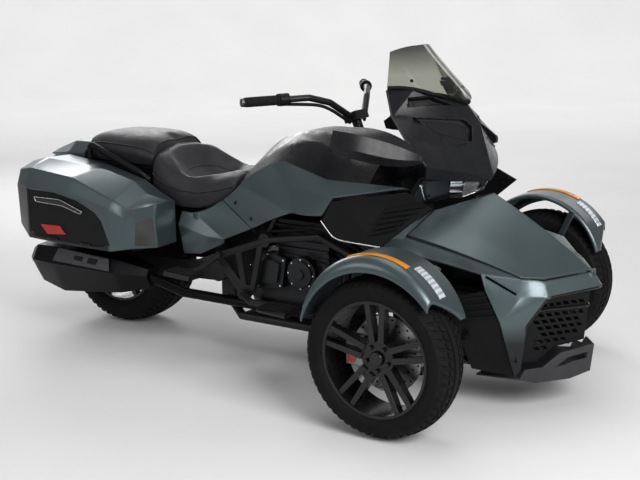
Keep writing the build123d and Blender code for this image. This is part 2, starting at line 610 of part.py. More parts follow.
# Drive belt: a band round both pulleys
def belt_loop(grow):
    small, big = FRONT_SPROCKET_R + grow, REAR_SPROCKET_R + grow
    a = Vector(FRONT_SPROCKET_X, SWINGARM_PIVOT_Z)
    b = Vector(REAR_X, REAR_TYRE_R)
    with BuildSketch(Plane.XZ) as sk:
        with Locations((a.X, a.Y)):
            Circle(small)
        with Locations((b.X, b.Y)):
            Circle(big)
        make_hull()
    return sk.sketch


belt = extrude(belt_loop(BELT_T + RUNNING), BELT_W / 2, both=True)
belt = belt - extrude(belt_loop(RUNNING), BELT_W, both=True)
belt = (Pos(0, BELT_Y, 0) * belt).solid()

# Silencer and its pipe, on the right below the bag
TAILPIPE = (-312, 306)
silencer = stations([
    (-1306, [(-292, 268), (-292, 338), (-312, 352), (-352, 346), (-366, 318), (-340, 262)]),
    (-1460, [(-258, 232), (-256, 352), (-286, 378), (-366, 368), (-398, 318), (-352, 226)]),
    (-1800, [(-236, 190), (-236, 352), (-270, 392), (-366, 384), (-404, 318), (-340, 184)]),
    (-1930, [(-240, 216), (-240, 350), (-270, 386), (-360, 378), (-394, 318), (-336, 214)]),
    (-1972, [(-262, 258), (-262, 340), (-280, 360), (-340, 356), (-362, 318), (-330, 256)])])
silencer -= rod((-1990, *TAILPIPE), (-1900, *TAILPIPE), 32)
silencer += rod((-1890, *TAILPIPE), (-1985, *TAILPIPE), 26)
silencer -= rod((-2000, *TAILPIPE), (-1880, *TAILPIPE), 22)
exhaust = silencer + pipe([(-1320, -326, 305), (-1190, -266, 246), (-1020, -214, 228), (-560, -214, 228),
                           (-462, -190, 300), (-462, -150, 430)], PIPE_R)
exhaust += rod((-462, -150, 430), (-462, 130, 430), PIPE_R)
for y in (-120, 0, 120):
    exhaust += rod((-462, y, 430), (-570, y, 476), 17)
exhaust -= block(-700, -540 + SEAT_GAP, -300, 300, 380, 600)
exhaust = exhaust.solid()

save(front_tyre.solid(), "tyre_front_right")
save(left(front_tyre).solid(), "tyre_front_left")
save(front_rim, "rim_front_right")
save(left(front_rim).solid(), "rim_front_left")
save(front_disc.solid(), "brake_disc_front_right")
save(left(front_disc).solid(), "brake_disc_front_left")
save(knuckle, "knuckle_right")
save(left(knuckle).solid(), "knuckle_left")
save(caliper, "caliper_right")
save(left(caliper).solid(), "caliper_left")
save(fender, "fender_right")
save(left(fender).solid(), "fender_left")
save(Compound(children=[amber_strip, clear_strip]), "fender_lamps_right")
save(Compound(children=[left(amber_strip).solid(), left(clear_strip).solid()]), "fender_lamps_left")
save(Compound(children=[lower_arm, left(lower_arm).solid(), upper_arm, left(upper_arm).solid()]), "wishbones")
save(Compound(children=[shock, left(shock).solid(), rear_shock]), "dampers")
save(rack, "steering_rack")
save(frame, "frame")
save(engine, "engine")
save(swingarm, "swingarm")
save(rear_tyre.solid(), "tyre_rear")
save(rear_rim, "rim_rear")
save(Compound(children=[sprocket, rear_disc]), "rear_sprocket_and_disc")
save(belt, "drive_belt")
save(exhaust, "exhaust")

# Bodywork
# Nose fascia: side bands, corners and the bar over the mouth, V-shaped in plan
NOSE = {
    "T0": (472, 0, 497), "T1": (366, -181, 487), "T2": (306, -243, 498), "T3": (-118, -318, 614),
    "U0": (FRONT_OVERHANG, 0, NOSE_HEIGHT), "U1": (392, -205, 436), "U2": (309, -254, 437),
    "U3": (205, -352, 527), "U4": (-106, -370, 574), "V1": (-84, -182, 688), "V2": (-199, -350, 595),
    "V3": (-170, -371, 573),
    "L1": (330, -246, 330), "L2": (303, -233, 158), "L3": (226, -357, 472), "L4": (267, -322, 352),
    "L5": (288, -238, 138)}
NOSE_FACES = ["T0 T1 U1 U0", "T1 T2 U2 U1", "T2 T3 U4 U3", "T3 V2 V3 U4", "T3 V1 V2", "T2 U3 U2", "U2 U3 L3 L4", "U1 U2 L4 L1",
              "L4 L5 L2 L1"]
NOSE_BOWS = {"T2 T3": (0, -2, 7), "U3 U4": (0, -5, 4), "L4 L5": (4, -10, 0), "L1 L2": (5, -6, 0)}
fascia = sheet(NOSE, NOSE_FACES, PANEL_WALL, (100, 0, 300), True, NOSE_BOWS)
SLOT_W = 7.0
slot = beam(along(NOSE["U2"], NOSE["U3"], 0.1), along(NOSE["U2"], NOSE["U3"], 0.88), 60, SLOT_W)
fascia = fascia - slot - left(slot)
BRACKET_LOW = 200.0
BRACKET_H = 22.0
for hand in (-1, 1):
    for x, reach in ((130, 20), (286, 37)):
        fascia = fascia + block(x, 306, hand * (PLATE_Y + reach), hand * PLATE_Y, BRACKET_LOW,
                                BRACKET_LOW + BRACKET_H)

# Front lid of the luggage space, with a centre ridge and a crease each side
LID = {
    "A0": (76, 0, 742), "A1": (-78, -168, 690), "A2": (-112, -308, 621),
    "B2": (301, -237, 503), "B1": (360, -174, 494), "B0": (462, 0, 504)}
LID_FACES = ["A0 B0 B1 A1", "A1 B1 B2 A2"]
LID_BOWS = {"A0 B0": (0, 0, 10), "A1 B1": (0, 0, 13), "A2 B2": (0, -2, 7)}
LID_WALL = 10.0
lid = sheet(LID, LID_FACES, LID_WALL, (150, 0, 300), True, LID_BOWS)

# Centre hinge at the lid's front point: an eye on the lid, ears and pin on the fascia
LID_HINGE = (468.0, 500.0)
EYE_W = 16.0
EAR_W = 8.0
lid = lid + disc_y(LID_HINGE[0], -EYE_W / 2, EYE_W / 2, LID_HINGE[1], HINGE_R) + block(
    448, LID_HINGE[0], -EYE_W / 2, EYE_W / 2, LID_HINGE[1] - 5, LID_HINGE[1] + 3)
lid = (lid - disc_y(LID_HINGE[0], -EYE_W, EYE_W, LID_HINGE[1], HINGE_PIN_R + RUNNING)).solid()
fascia = fascia - block(LID_HINGE[0] - 12, LID_HINGE[0] + 9, -EYE_W / 2 - 1, EYE_W / 2 + 1, LID_HINGE[1] - 9, 520)
for hand in (-1, 1):
    near, far = hand * (EYE_W / 2 + JOINT_GAP), hand * (EYE_W / 2 + EAR_W)
    fascia += disc_y(LID_HINGE[0], near, far, LID_HINGE[1], HINGE_R - 1)
    fascia += block(LID_HINGE[0] - 5, LID_HINGE[0] + 5, near, far, LID_HINGE[1] - 16, LID_HINGE[1])
fascia += disc_y(LID_HINGE[0], -EYE_W / 2 - EAR_W, EYE_W / 2 + EAR_W, LID_HINGE[1], HINGE_PIN_R)
fascia = fascia.solid()

# Luggage tub under the lid
TUB = {
    "R0": (36, 0, 690), "R1": (-80, -150, 650), "R2": (-92, -272, 596), "F2": (262, -198, 478),
    "F1": (330, -140, 470), "F0": (416, 0, 474),
    "r0": (20, 0, PLATE_TOP), "r2": (-60, -206, PLATE_TOP), "f2": (230, -160, PLATE_TOP),
    "f0": (340, 0, PLATE_TOP)}
TUB_FACES = ["R0 R1 r0", "R1 r2 r0", "R1 R2 r2", "R2 F2 f2 r2", "F2 F1 f2", "F1 F0 f0 f2",
             "r0 r2 f2", "r0 f2 f0"]
TUB_WALL = 5.0
tub = sheet(TUB, TUB_FACES, TUB_WALL, (130, 0, 500), True)

# Grille in the mouth, set back behind the fascia: a barred band over a field of slanted slots
SET = 30.0
GRILLE = {
    "a": (FRONT_OVERHANG - SET - 14, 0, 434), "b": (380 - SET, -194, 424), "c": (330 - SET, -216, 330),
    "d": (312 - SET, -206, 176), "e": (368 - SET, -166, 184), "f": (402 - SET, -112, 230),
    "g": (474 - SET, 0, 244)}
GRILLE_WALL = 8.0
grille = sheet(GRILLE, ["a b c", "a c f", "c d e", "c e f", "a f g"], GRILLE_WALL, (0, 0, 300), True)
for hand in (-1, 1):
    grille = grille + block(PLATE_X - 20, 334, hand * 176, hand * 160, 250, 268) + block(
        PLATE_X - 20, PLATE_X, hand * (PLATE_Y - PLATE_T), hand * 160, 250, 268)
SLOT_PITCH = 26.0
SLOT_WIDE = 17.0
SLOT_LEAN = 9.0
SLOT_HIGH = 14.0
SLOT_ROWS = [(384, 12, 6), (346, 12, 7), (322, 25, 6), (298, 12, 6), (274, 25, 5), (250, 64, 4), (226, 128, 2)]
slots = []
for low, start, count in SLOT_ROWS:
    high = low + SLOT_HIGH
    for n in range(count):
        y = -start - SLOT_PITCH * n
        cell = make_face(Polyline((y, low), (y - SLOT_WIDE, low), (y - SLOT_WIDE - SLOT_LEAN, high),
                                  (y - SLOT_LEAN, high), close=True))
        hole = Pos(PLATE_X + 60, 0, 0) * extrude(Plane.YZ * cell, FRONT_OVERHANG)
        slots += [hole, left(hole)]
grille = (grille - slots).solid()

# Chin: lip under the mouth with a recess below it, and the splitter plate behind
CHIN = {
    "C0": (484, 0, 232), "C1": (408, -119, 217), "C2": (368, -178, 172), "C3": (317, -222, 164),
    "D0": (472, 0, 130), "D1": (428, -80, 114), "D2": (345, -186, 112), "D3": (302, -226, 130),
    "E0": (120, 0, 108), "E1": (120, -205, 108)}
CHIN_FACES = ["C0 C1 D1 D0", "C1 C2 D2 D1", "C2 C3 D3 D2", "D0 D1 E0", "D1 E1 E0", "D1 D2 E1", "D2 D3 E1"]
CHIN_WALL = 6.0
chin = sheet(CHIN, CHIN_FACES, CHIN_WALL, (280, 0, 300), True)
CHIN_RECESS = [(-20, 205), (-92, 196), (-132, 166), (-104, 168), (-72, 178), (-20, 182)]
for hand in (-1, 1):
    recess = make_face(Polyline(*[(-hand * y, z) for y, z in CHIN_RECESS], close=True))
    chin = chin - Pos(PLATE_X + 60, 0, 0) * extrude(Plane.YZ * recess, FRONT_OVERHANG)
    chin = chin + block(130, 168, hand * 190, hand * 160, 110, PLATE_LOW)
chin = chin.solid()

# Louvred panels on the nose sides, ahead of the wheels
LOUVRE = {
    "a": (218, -352, 466), "b": (259, -317, 350), "c": (280, -232, 140), "d": (110, -388, 440),
    "e": (120, -372, 330), "f": (130, -262, 150)}
LOUVRE_WALL = 6.0
RIB_W = 14.0
RIB_H = 8.0
louvre = sheet(LOUVRE, ["a b e d", "b c f e"], LOUVRE_WALL, (150, 0, 300))
for n in range(4):
    t = 0.16 + 0.2 * n
    louvre = louvre + beam(along(LOUVRE["d"], LOUVRE["e"], t), along(LOUVRE["a"], LOUVRE["b"], t), RIB_W, RIB_H)
louvre = (louvre + block(140, 160, -366, -PLATE_Y, 286, 306)).solid()

# Painted side panels from the nose past the seat to the bags
SIDE = {
    "P0": (-94, -342, 796), "P1": (-456, -302, 787), "P2": (-693, -240, 829), "P3": (-769, -222, 812),
    "P4": (-935, -212, 709), "P5": (-1040, -222, 628), "P6": (-1152, -236, 578), "P7": (-1215, -238, 580),
    "Q1": (-404, -352, 731), "Q2": (-462, -338, 656), "Q3": (-628, -292, 643), "Q4": (-801, -282, 570),
    "Q5": (-976, -270, 494), "Q6": (-1071, -270, 498), "Q7": (-1212, -266, 528), "R1": (-657, -272, 744),
    "S0": (-984, -258, 474), "S1": (-1120, -240, 412), "S2": (-1208, -238, 404)}
SIDE_FACES = ["P0 P1 Q1", "P1 P2 R1 Q1", "P2 P3 R1", "Q1 R1 Q3 Q2", "P3 P4 Q3 R1", "P4 P5 Q4 Q3", "P5 P6 Q5 Q4",
              "P6 P7 Q6 Q5", "P7 Q7 Q6", "Q5 Q6 S1 S0", "Q6 Q7 S2 S1"]
SIDE_BOWS = {"P3 P4": (0, -4, 8), "P4 P5": (0, -2, -8), "P5 P6": (0, -1, -6), "Q2 Q3": (0, -4, -4),
             "Q3 Q4": (0, -6, 4), "Q4 Q5": (0, -4, 0)}
side_panel = sheet(SIDE, SIDE_FACES, PANEL_WALL, (-700, 0, 600), False, SIDE_BOWS)
RAIL_OUT = RAIL_Y + RAIL_W / 2
side_panel = (side_panel + block(-655, -625, -284, -SPINE_W / 2, 640, 660)
              + block(-1150, -1125, -246, -RAIL_OUT, RAIL_LOW - 46, RAIL_LOW - 20)
              + block(-1150, -1125, -RAIL_OUT - 10, -RAIL_OUT, RAIL_LOW - 46, RAIL_TOP - 4)).solid()

# Black intake panels below the painted arms, with a row of vanes
INTAKE = {
    "i0": (-409, -346, 716), "i1": (-98, -346, 779), "i2": (4, -345, 733), "i3": (-184, -372, 580),
    "i4": (-391, -352, 580), "i5": (-464, -334, 638)}
intake = sheet(INTAKE, ["i0 i1 i2", "i0 i2 i3", "i0 i3 i4 i5"], PANEL_WALL, (-200, 0, 640))
VANE_COUNT = 5
VANE_BACK = ((-190, -350, 704), (-236, -365, 618))
VANE_FRONT = ((-28, -343, 740), (-132, -361, 650))
for n in range(VANE_COUNT):
    t = n / (VANE_COUNT - 1)
    intake = intake + beam(along(*VANE_BACK, t), along(*VANE_FRONT, t), RIB_W + 4, RIB_H + 2)
intake = (intake + block(-260, -230, -358, -SPINE_W / 2, 640, 660)).solid()


# Tank and console cover on the spine
def console_section(foot, side, side_z, brow, brow_z, crown, crown_z):
    """Outline over the spine: foot, widest side, brow and crown, each as half width and height."""
    return mirrored([(-foot, SPINE_TOP), (-side, side_z), (-brow, brow_z), (-crown, crown_z)])


console = stations([
    (-290, console_section(250, 300, 770, 215, 838, 110, 872)),
    (-450, console_section(230, 285, 776, 190, 868, 90, 902)),
    (-690, console_section(180, 226, 812, 150, 892, 80, 926)),
    (-770, console_section(170, 208, 800, 140, 868, 70, 908)),
    (-930, console_section(160, 196, 704, 126, 770, 58, 802)),
    (-980, console_section(150, 160, 696, 110, 730, 52, 744))], False)
column_hole = rake * Pos(0, 0, -150) * Cylinder(COLUMN_R + 16, 560)
console = console - column_hole - block(POST_X - 20 - PANEL_GAP, 0, -400, 400, 0, 2000)
console = (console - block(-1100, 0, -400, 400, 0, SPINE_TOP)).solid()

# Fairing: V-shaped black mask between the screen and the headlights, with two inlets each side
FAIR = {
    "F0": (-44, 0, 1066), "F1": (-171, -158, 1126), "F2": (-264, -202, 1120), "F3": (-217, -242, 1028),
    "F4": (-148, -272, 961), "F5": (-58, -270, 865), "F6": (-74, -248, 815), "F7": (71, 0, 805),
    "G1": (12, 0, 998), "G2": (43, 0, 898), "H": (60, 0, 784)}
FAIR_FACES = ["F0 F1 F3 G1", "F1 F2 F3", "G1 F3 F4 G2", "G2 F4 F5 F7", "F7 F5 F6 H"]
FAIR_BOWS = {"G1 F3": (10, -12, 6), "G2 F4": (14, -18, 0), "F7 F5": (10, -14, 0), "H F6": (8, -12, 0)}
fairing = sheet(FAIR, FAIR_FACES, PANEL_WALL, (-250, 0, 950), True, FAIR_BOWS)
fairing = fairing + block(POST_X + 20, 36, -14, 14, 880, 900)
INLET_DEPTH = 26.0
INLET_WALL = 5.0
UPPER_INLET = [(-184, -186, 1095), (-125, -116, 1100), (-72, -52, 1052), (-172, -196, 1066)]
LOWER_INLET = [(-140, -204, 1026), (-26, -56, 1010), (0, -36, 984), (2, -46, 930), (-66, -164, 968)]
for outline, toward in ((UPPER_INLET, (0.6, -0.5, 0.6)), (LOWER_INLET, (0.78, -0.6, 0.14))):
    shell = through(spread(outline, INLET_WALL), toward, -INLET_DEPTH - INLET_WALL, -PANEL_WALL / 2)
    hollow = through(outline, toward, -INLET_DEPTH, 60)
    fairing = fairing + shell + left(shell) - hollow - left(hollow)
fairing = fairing.solid()

# Headlights under the mask
HEAD = {
    "a": (44, -14, 796), "b": (-84, -240, 806), "c": (-128, -286, 700), "d": (-104, -172, 716), "e": (30, -14, 762)}
HEAD_WALL = 26.0
ARM_LOW = 740.0
ARM_TOP = 758.0
headlight = sheet(HEAD, ["a b d e", "b c d"], HEAD_WALL, (-300, -100, 750))
headlight = (headlight + block(-150, -90, -190, -170, ARM_LOW, ARM_TOP)
             + block(POST_X + 20, -130, -190, -170, ARM_LOW, ARM_TOP)
             + block(POST_X - 10, POST_X + 40, -190, -POST_W / 2, ARM_LOW, ARM_TOP)).solid()

# Windscreen
SCREEN_EDGE = HEIGHT - SCREEN_WALL
screen_low = Spline((-258, -206, 1133), (-152, -144, 1121), (-36, 0, 1071), (-152, 144, 1121), (-258, 206, 1133))
screen_top = Spline((-284, -147, SCREEN_EDGE - 16), (-256, -80, SCREEN_EDGE - 2), (-248, 0, SCREEN_EDGE),
                    (-256, 80, SCREEN_EDGE - 2), (-284, 147, SCREEN_EDGE - 16))
screen = Solid.thicken(Face.make_surface_from_curves(screen_low, screen_top), SCREEN_WALL)

# Mirror pods swept back from the fairing sides, and their glasses
mirror_pod = stations([
    (-62, [(-284, 884), (-300, 880), (-306, 892), (-300, 906), (-286, 908)]),
    (-150, [(-290, 862), (-350, 868), (-372, 900), (-350, 948), (-292, 962)]),
    (-250, [(-300, 884), (-420, 892), (-448, 930), (-424, 984), (-312, 992)]),
    (-334, [(-334, 906), (-446, 908), (-474, 944), (-450, 996), (-344, 996)])], False)
mirror_pod = (mirror_pod + block(POST_X - 12, POST_X + 6, -340, -POST_W / 2, 906, 926)).solid()
GLASS = [(-344, 914), (-442, 916), (-466, 945), (-446, 988), (-350, 988)]
GLASS_X = -334.0
GLASS_T = 4.0
glass = stations([(GLASS_X, GLASS), (GLASS_X - GLASS_T, GLASS)])

# Instrument pod on the fairing post
dash = stations([
    (POST_X + 40, mirrored([(-90, POST_TOP), (-110, 1010), (-60, 1046)])),
    (POST_X - 90, mirrored([(-100, POST_TOP), (-124, 1010), (-70, 1030)])),
    (POST_X - 130, mirrored([(-80, POST_TOP), (-96, 990), (-60, 1000)]))])


# Seats: the rider's is a bucket, with a bolster round the pan and skirts that hang over the rails
def cushion(sections):
    """Loft through outlines (x, base, top): straight edges below and one smooth curve over the top."""
    wires = []
    for x, base, top in sections:
        below = [Vector(x, -y, z) for y, z in reversed(base)] + [Vector(x, y, z) for y, z in base]
        over = Edge.make_spline([Vector(x, y, z) for y, z in mirrored(top)])
        wires.append(Wire([Edge.make_line(p, q) for p, q in zip(below, below[1:])] + [over]))
    return Solid.make_loft(wires, False)


def seat_station(x, skirt_z, side, side_z, rim, rim_z, pan, pan_z, centre_z):
    skirt_in = RAIL_OUT + 12
    base = [(-skirt_in, RAIL_TOP), (-skirt_in - 2, skirt_z), (-side + 6, skirt_z), (-side, side_z)]
    return (x, base, [(-side, side_z), (-rim, rim_z), (-pan, pan_z), (0, centre_z)])


seat_rider = cushion([
    seat_station(-992, 620, 176, 684, 96, 740, 48, 748, 750),
    seat_station(-1060, 612, 204, 672, 138, 726, 70, 714, 708),
    seat_station(-1150, 590, 224, 656, 172, 710, 98, 680, 672),
    seat_station(-1240, 588, 228, 660, 180, 724, 108, 674, 662),
    seat_station(-1310, 596, 226, 676, 174, 756, 102, 706, 690),
    seat_station(-1366, 608, 214, 694, 156, 790, 92, 770, 760),
    seat_station(-1416, 622, 192, 714, 130, 802, 66, 820, 824)])
seat_rider = (seat_rider - block(SPINE_REAR - SEAT_GAP, SPINE_REAR + 60, -400, 400, 500, 900)).solid()
BASE_TOP = 730.0
seat_base = stations([
    (-1420, mirrored([(-132, RAIL_TOP), (-140, BASE_TOP)])),
    (-1700, mirrored([(-132, RAIL_TOP), (-142, BASE_TOP)])),
    (-1990, mirrored([(-120, RAIL_TOP), (-130, BASE_TOP)]))])


def pillion_station(x, base, side, side_z, top, top_z, centre_z):
    return (x, [(-base, BASE_TOP), (-side, side_z)], [(-side, side_z), (-top, top_z), (0, centre_z)])


seat_passenger = cushion([
    pillion_station(-1420, 150, 172, 766, 128, 826, 842),
    pillion_station(-1480, 156, 182, 776, 138, 842, 852),
    pillion_station(-1600, 152, 176, 784, 134, 848, 858),
    pillion_station(-1740, 136, 156, 784, 120, 844, 854),
    pillion_station(-1838, 108, 128, 772, 96, 820, 830)])

# Grab handles beside the passenger seat
grab = pipe([(-1416, -198, 684), (-1452, -198, 704), (-1760, -182, 808), (-1796, -155, 796)], GRAB_R)
grab += beam((-1792, -154, 798), (-1792, -154, 700), 15, 18)
grab += block(-1801, -1783, -161, -134, 700, 718)
grab += block(-1440, -1424, -204, -136, 684, 702)
grab = biggest(grab - seat_rider - seat_passenger - seat_base)

# Tail cover, lamp and mudguard
tail = stations([
    (-1842, mirrored([(-140, BASE_TOP), (-140, 760), (-90, 800)])),
    (-1930, mirrored([(-146, BASE_TOP), (-146, 756), (-94, 800)])),
    (-2060, mirrored([(-110, BASE_TOP), (-120, 738), (-80, 752)]))])
tail = (tail + block(-2060, -1990, -100, 100, 668, BASE_TOP)).solid()
tail_lamp = block(-2076, -2060, -96, 96, 684, 722)
GUARD_W = 92.0
guard_face = make_face(Polyline((RAIL_REAR, RAIL_LOW), (-2040, 560), (-2100, 480), (TAIL_X, 372),
                                (TAIL_X + 7, 370), (-2093, 476), (-2034, 554), (RAIL_REAR + 20, RAIL_LOW - 8),
                                (RAIL_REAR + 20, RAIL_LOW), close=True))
guard = extrude(Plane.XZ * guard_face, GUARD_W, both=True).solid()

# Saddlebags: hollow shells with a bottom-hinged outer door
OUT_F = (-1410.0, -458.0)
OUT_R = (-1910.0, -424.0)


def bag_side(x):
    return OUT_F[1] + (OUT_R[1] - OUT_F[1]) * (x - OUT_F[0]) / (OUT_R[0] - OUT_F[0])


def bag(shrink):
    """Solid of the bag's outside, or of its hollow when shrunk by the wall."""
    s = shrink
    return stations([
        (-1232 - s, [(-258 - s, 452 + s), (-258 - s, 622 - s), (-300, 632 - s), (-376 + s, 626 - s),
                     (-386 + s, 570), (-374 + s, 450 + s)]),
        (-1322, [(-240 - s, 424 + s), (-240 - s, 650 - s), (-330, 656 - s), (-440 + s, 604 - s),
                 (-444 + s, 560), (-432 + s, 444 + s)]),
        (OUT_F[0], [(-230 - s, 412 + s), (-230 - s, 690 - s), (-300, 694 - s), (-436 + s, 636 - s),
                    (OUT_F[1] + s, 600), (OUT_F[1] + s, 428 + s)]),
        (-1650, [(-186 - s, 404 + s), (-186 - s, 728 - s), (-262, 730 - s), (-412 + s, 704 - s),
                 (bag_side(-1650) + s, 640), (bag_side(-1650) + s, 422 + s)]),
        (OUT_R[0], [(-156 - s, 406 + s), (-156 - s, 748 - s), (-296, 754 - s), (-396 + s, 722 - s),
                    (OUT_R[1] + s, 648), (OUT_R[1] + s, 424 + s)]),
        (-2008 + s, [(-164 - s, 452 + s), (-164 - s, 726 - s), (-280, 730 - s), (-362 + s, 704 - s),
                     (-386 + s, 640), (-376 + s, 466 + s)])])


bag_shell = bag(0) - bag(BAG_WALL)
door_dir = Vector(OUT_R[0] - OUT_F[0], OUT_R[1] - OUT_F[1], 0).normalized()
door_plane = Plane(origin=Vector(OUT_F[0], OUT_F[1], 0), x_dir=door_dir, z_dir=Vector(door_dir.Y, -door_dir.X, 0))
DOOR_LOW = 440.0
DOOR_TOP = 632.0
door_outline = [(10, DOOR_LOW + 14), (92, DOOR_LOW), (452, DOOR_LOW), (486, DOOR_LOW + 20), (486, DOOR_TOP),
                (330, DOOR_TOP), (196, DOOR_TOP - 20), (92, DOOR_TOP - 54), (54, DOOR_TOP - 86)]


def door_point(x, z):
    """A point of the door's outer plane, x along the door from its front."""
    p = door_plane.from_local_coords(Vector(x, 0, 0))
    return (p.X, p.Y, z)


def door_prism(grow, depth0, depth1):
    """The door's outline, grown from its middle, between two depths."""
    middle = [sum(c) / len(door_outline) for c in zip(*door_outline)]
    wires = []
    for depth in (depth0, depth1):
        corners = []
        for x, z in door_outline:
            share = 1 + grow / hypot(x - middle[0], z - middle[1])
            px, py, pz = door_point(middle[0] + (x - middle[0]) * share, middle[1] + (z - middle[1]) * share)
            corners.append((px, py + depth, pz))
        wires.append(Wire.make_polygon(corners, close=True))
    return Solid.make_loft(wires, True)


bag_shell = biggest(bag_shell - door_prism(DOOR_GAP, -40, 40))
for x, y in ((-1470, -236), (-1850, -176)):
    bag_shell += block(x - 30, x, y, -RAIL_OUT, 606, 624)
bag_door = door_prism(0, 0, DOOR_T)

# Two barrels on the door's lower edge turn on pins between ears on the bag
BARREL = 40.0
for x in (150, 350):
    a, b = x - BARREL / 2, x + BARREL / 2
    axis = [door_point(t, DOOR_LOW) for t in (a - 9, a - JOINT_GAP, a, b, b + JOINT_GAP, b + 9)]
    bag_shell -= rod(axis[1], axis[4], HINGE_R + 1.5)
    bag_shell += rod(axis[0], axis[1], HINGE_R) + rod(axis[4], axis[5], HINGE_R)
    bag_shell += rod(axis[0], axis[5], HINGE_PIN_R)
    bag_door -= rod(axis[0], axis[1], HINGE_R + 1.5) + rod(axis[4], axis[5], HINGE_R + 1.5)
    bag_door += rod(axis[2], axis[3], HINGE_R)
    bag_door -= rod(axis[0], axis[5], HINGE_PIN_R + RUNNING)
bag_shell = bag_shell.solid()
bag_door = bag_door.solid()

# Footrests on bosses of the side webs and tubes
WEB_OUT = SIDE_TUBE_Y + WEB_T / 2
TUBE_OUT = SIDE_TUBE_Y + SIDE_TUBE_R + SEAT_GAP
rider_peg = stations([
    (-705, [(-330, 270), (-420, 270), (-428, 282), (-420, 292), (-330, 292)]),
    (-560, [(-330, 270), (-440, 270), (-448, 282), (-440, 292), (-330, 292)])])
rider_peg += disc_y(-889, -WEB_OUT - 18, -WEB_OUT, 280, 20)
rider_peg += pipe([(-889, -WEB_OUT - 10, 280), (-800, -330, 276), (-640, -345, 281)], 13)
rider_peg = (rider_peg - block(-1000, -500, -WEB_OUT, 0, 200, 400)).solid()
pass_peg = stations([
    (-1165, [(-340, 352), (-420, 352), (-426, 362), (-420, 372), (-340, 372)]),
    (-1035, [(-330, 346), (-420, 346), (-426, 356), (-420, 366), (-330, 366)])])
pass_peg += disc_y(-1000, -TUBE_OUT - 18, -TUBE_OUT, 428, 14)
pass_peg += pipe([(-1000, -TUBE_OUT - 11, 428), (-1060, -330, 372), (-1100, -350, 360)], 12)
pass_peg = (pass_peg - block(-1200, -900, -TUBE_OUT, 0, 200, 600)).solid()

# Belly pan below the engine
belly = stations([
    (60, mirrored([(-190, PLATE_LOW), (-150, 128)])),
    (-140, mirrored([(-200, PLATE_LOW), (-160, 124)]))])
belly += stations([
    (-140, mirrored([(-180, 148), (-160, 124)])),
    (-900, mirrored([(-160, 150), (-120, 128)]))])
belly = belly.solid()

# Handlebar with grips and switch pods
BAR_END = (-745, -412, 1067)
BAR_BEND = (-600, -208, 1073)
BAR_DROP = (-556, -132, 1050)
BAR_FOOT = (-517, -52, 992)
half = [BAR_END, BAR_BEND, BAR_DROP, BAR_FOOT]
bar_path = FilletPolyline(*half, *[(x, -y, z) for x, y, z in reversed(half)], radius=38)
bar = sweep(Plane(origin=bar_path @ 0, z_dir=bar_path % 0) * Circle(BAR_R), path=bar_path)
bar += rake * Pos(0, 0, -62) * Cylinder(COLUMN_R, 160)
bar += rake * Pos(4, 0, 18) * Box(62, 84, 34)
bar = bar.solid()
g0, g1 = Vector(*BAR_BEND), Vector(*BAR_END)
gd = (g1 - g0).normalized()
grip_start = g1 - gd * GRIP_L
grip = rod(grip_start, (g1 + gd * 6), GRIP_R)
grip = (grip - rod((grip_start - gd * 5), g1, BAR_R + SEAT_GAP)).solid()
pod_end = grip_start - gd * 1.0
pod = rod((pod_end - gd * 38), pod_end, 24)
pod = (pod - rod((pod_end - gd * 60), (pod_end + gd * 9), BAR_R + SEAT_GAP)).solid()

save(fascia, "nose_fascia")
save(lid, "luggage_lid")
save(tub, "luggage_tub")
save(grille, "grille")
save(chin, "chin_splitter")
save(pair(louvre), "nose_louvres")
save(pair(side_panel), "side_panels")
save(pair(intake), "intake_panels")
save(console, "console")
save(fairing, "fairing")
save(pair(headlight), "headlights")
save(screen, "windscreen")
save(pair(mirror_pod), "mirror_pods")
save(pair(glass), "mirror_glasses")
save(dash, "instrument_pod")
save(seat_rider, "seat_rider")
save(seat_passenger, "seat_passenger")
save(seat_base, "seat_base")
save(pair(grab), "grab_handles")
save(tail, "tail_cover")
save(tail_lamp, "tail_lamp")
save(guard, "rear_mudguard")
save(bag_shell, "saddlebag_right")
save(left(bag_shell).solid(), "saddlebag_left")
save(bag_door, "saddlebag_door_right")
save(left(bag_door).solid(), "saddlebag_door_left")
save(Compound(children=[rider_peg, left(rider_peg).solid(), pass_peg, left(pass_peg).solid()]), "footrests")
save(belly, "belly_pan")
save(bar, "handlebar")
save(pair(grip), "grips")
save(pair(pod), "switch_pods")
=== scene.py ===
import json
import math

import bmesh
import bpy
from mathutils import Matrix, Vector


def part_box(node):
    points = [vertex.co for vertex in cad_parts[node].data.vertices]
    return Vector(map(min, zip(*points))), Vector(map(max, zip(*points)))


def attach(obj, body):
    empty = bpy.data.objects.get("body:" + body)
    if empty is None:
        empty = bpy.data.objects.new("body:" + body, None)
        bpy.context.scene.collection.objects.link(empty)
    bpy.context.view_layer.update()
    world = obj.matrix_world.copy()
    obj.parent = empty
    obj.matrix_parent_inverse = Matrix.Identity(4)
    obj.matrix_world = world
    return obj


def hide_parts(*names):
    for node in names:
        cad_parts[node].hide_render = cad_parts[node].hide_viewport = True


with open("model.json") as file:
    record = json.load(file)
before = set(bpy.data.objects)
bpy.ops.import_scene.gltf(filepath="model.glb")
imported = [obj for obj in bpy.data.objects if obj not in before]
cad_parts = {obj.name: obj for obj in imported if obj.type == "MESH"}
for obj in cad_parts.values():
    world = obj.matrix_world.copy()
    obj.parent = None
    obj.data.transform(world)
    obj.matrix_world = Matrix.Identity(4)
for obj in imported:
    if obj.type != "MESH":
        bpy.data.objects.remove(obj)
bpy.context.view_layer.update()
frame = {"nodes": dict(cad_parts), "record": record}
scene = bpy.context.scene
nodes = frame["nodes"]
HANDS = ((-1, "right"), (1, "left"))
UP = Vector((0, 0, 1))


def middle_of(node_name):
    """Middle of a CAD node's box."""
    low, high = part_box(node_name)
    return [(a + b) / 2 for a, b in zip(low, high)]


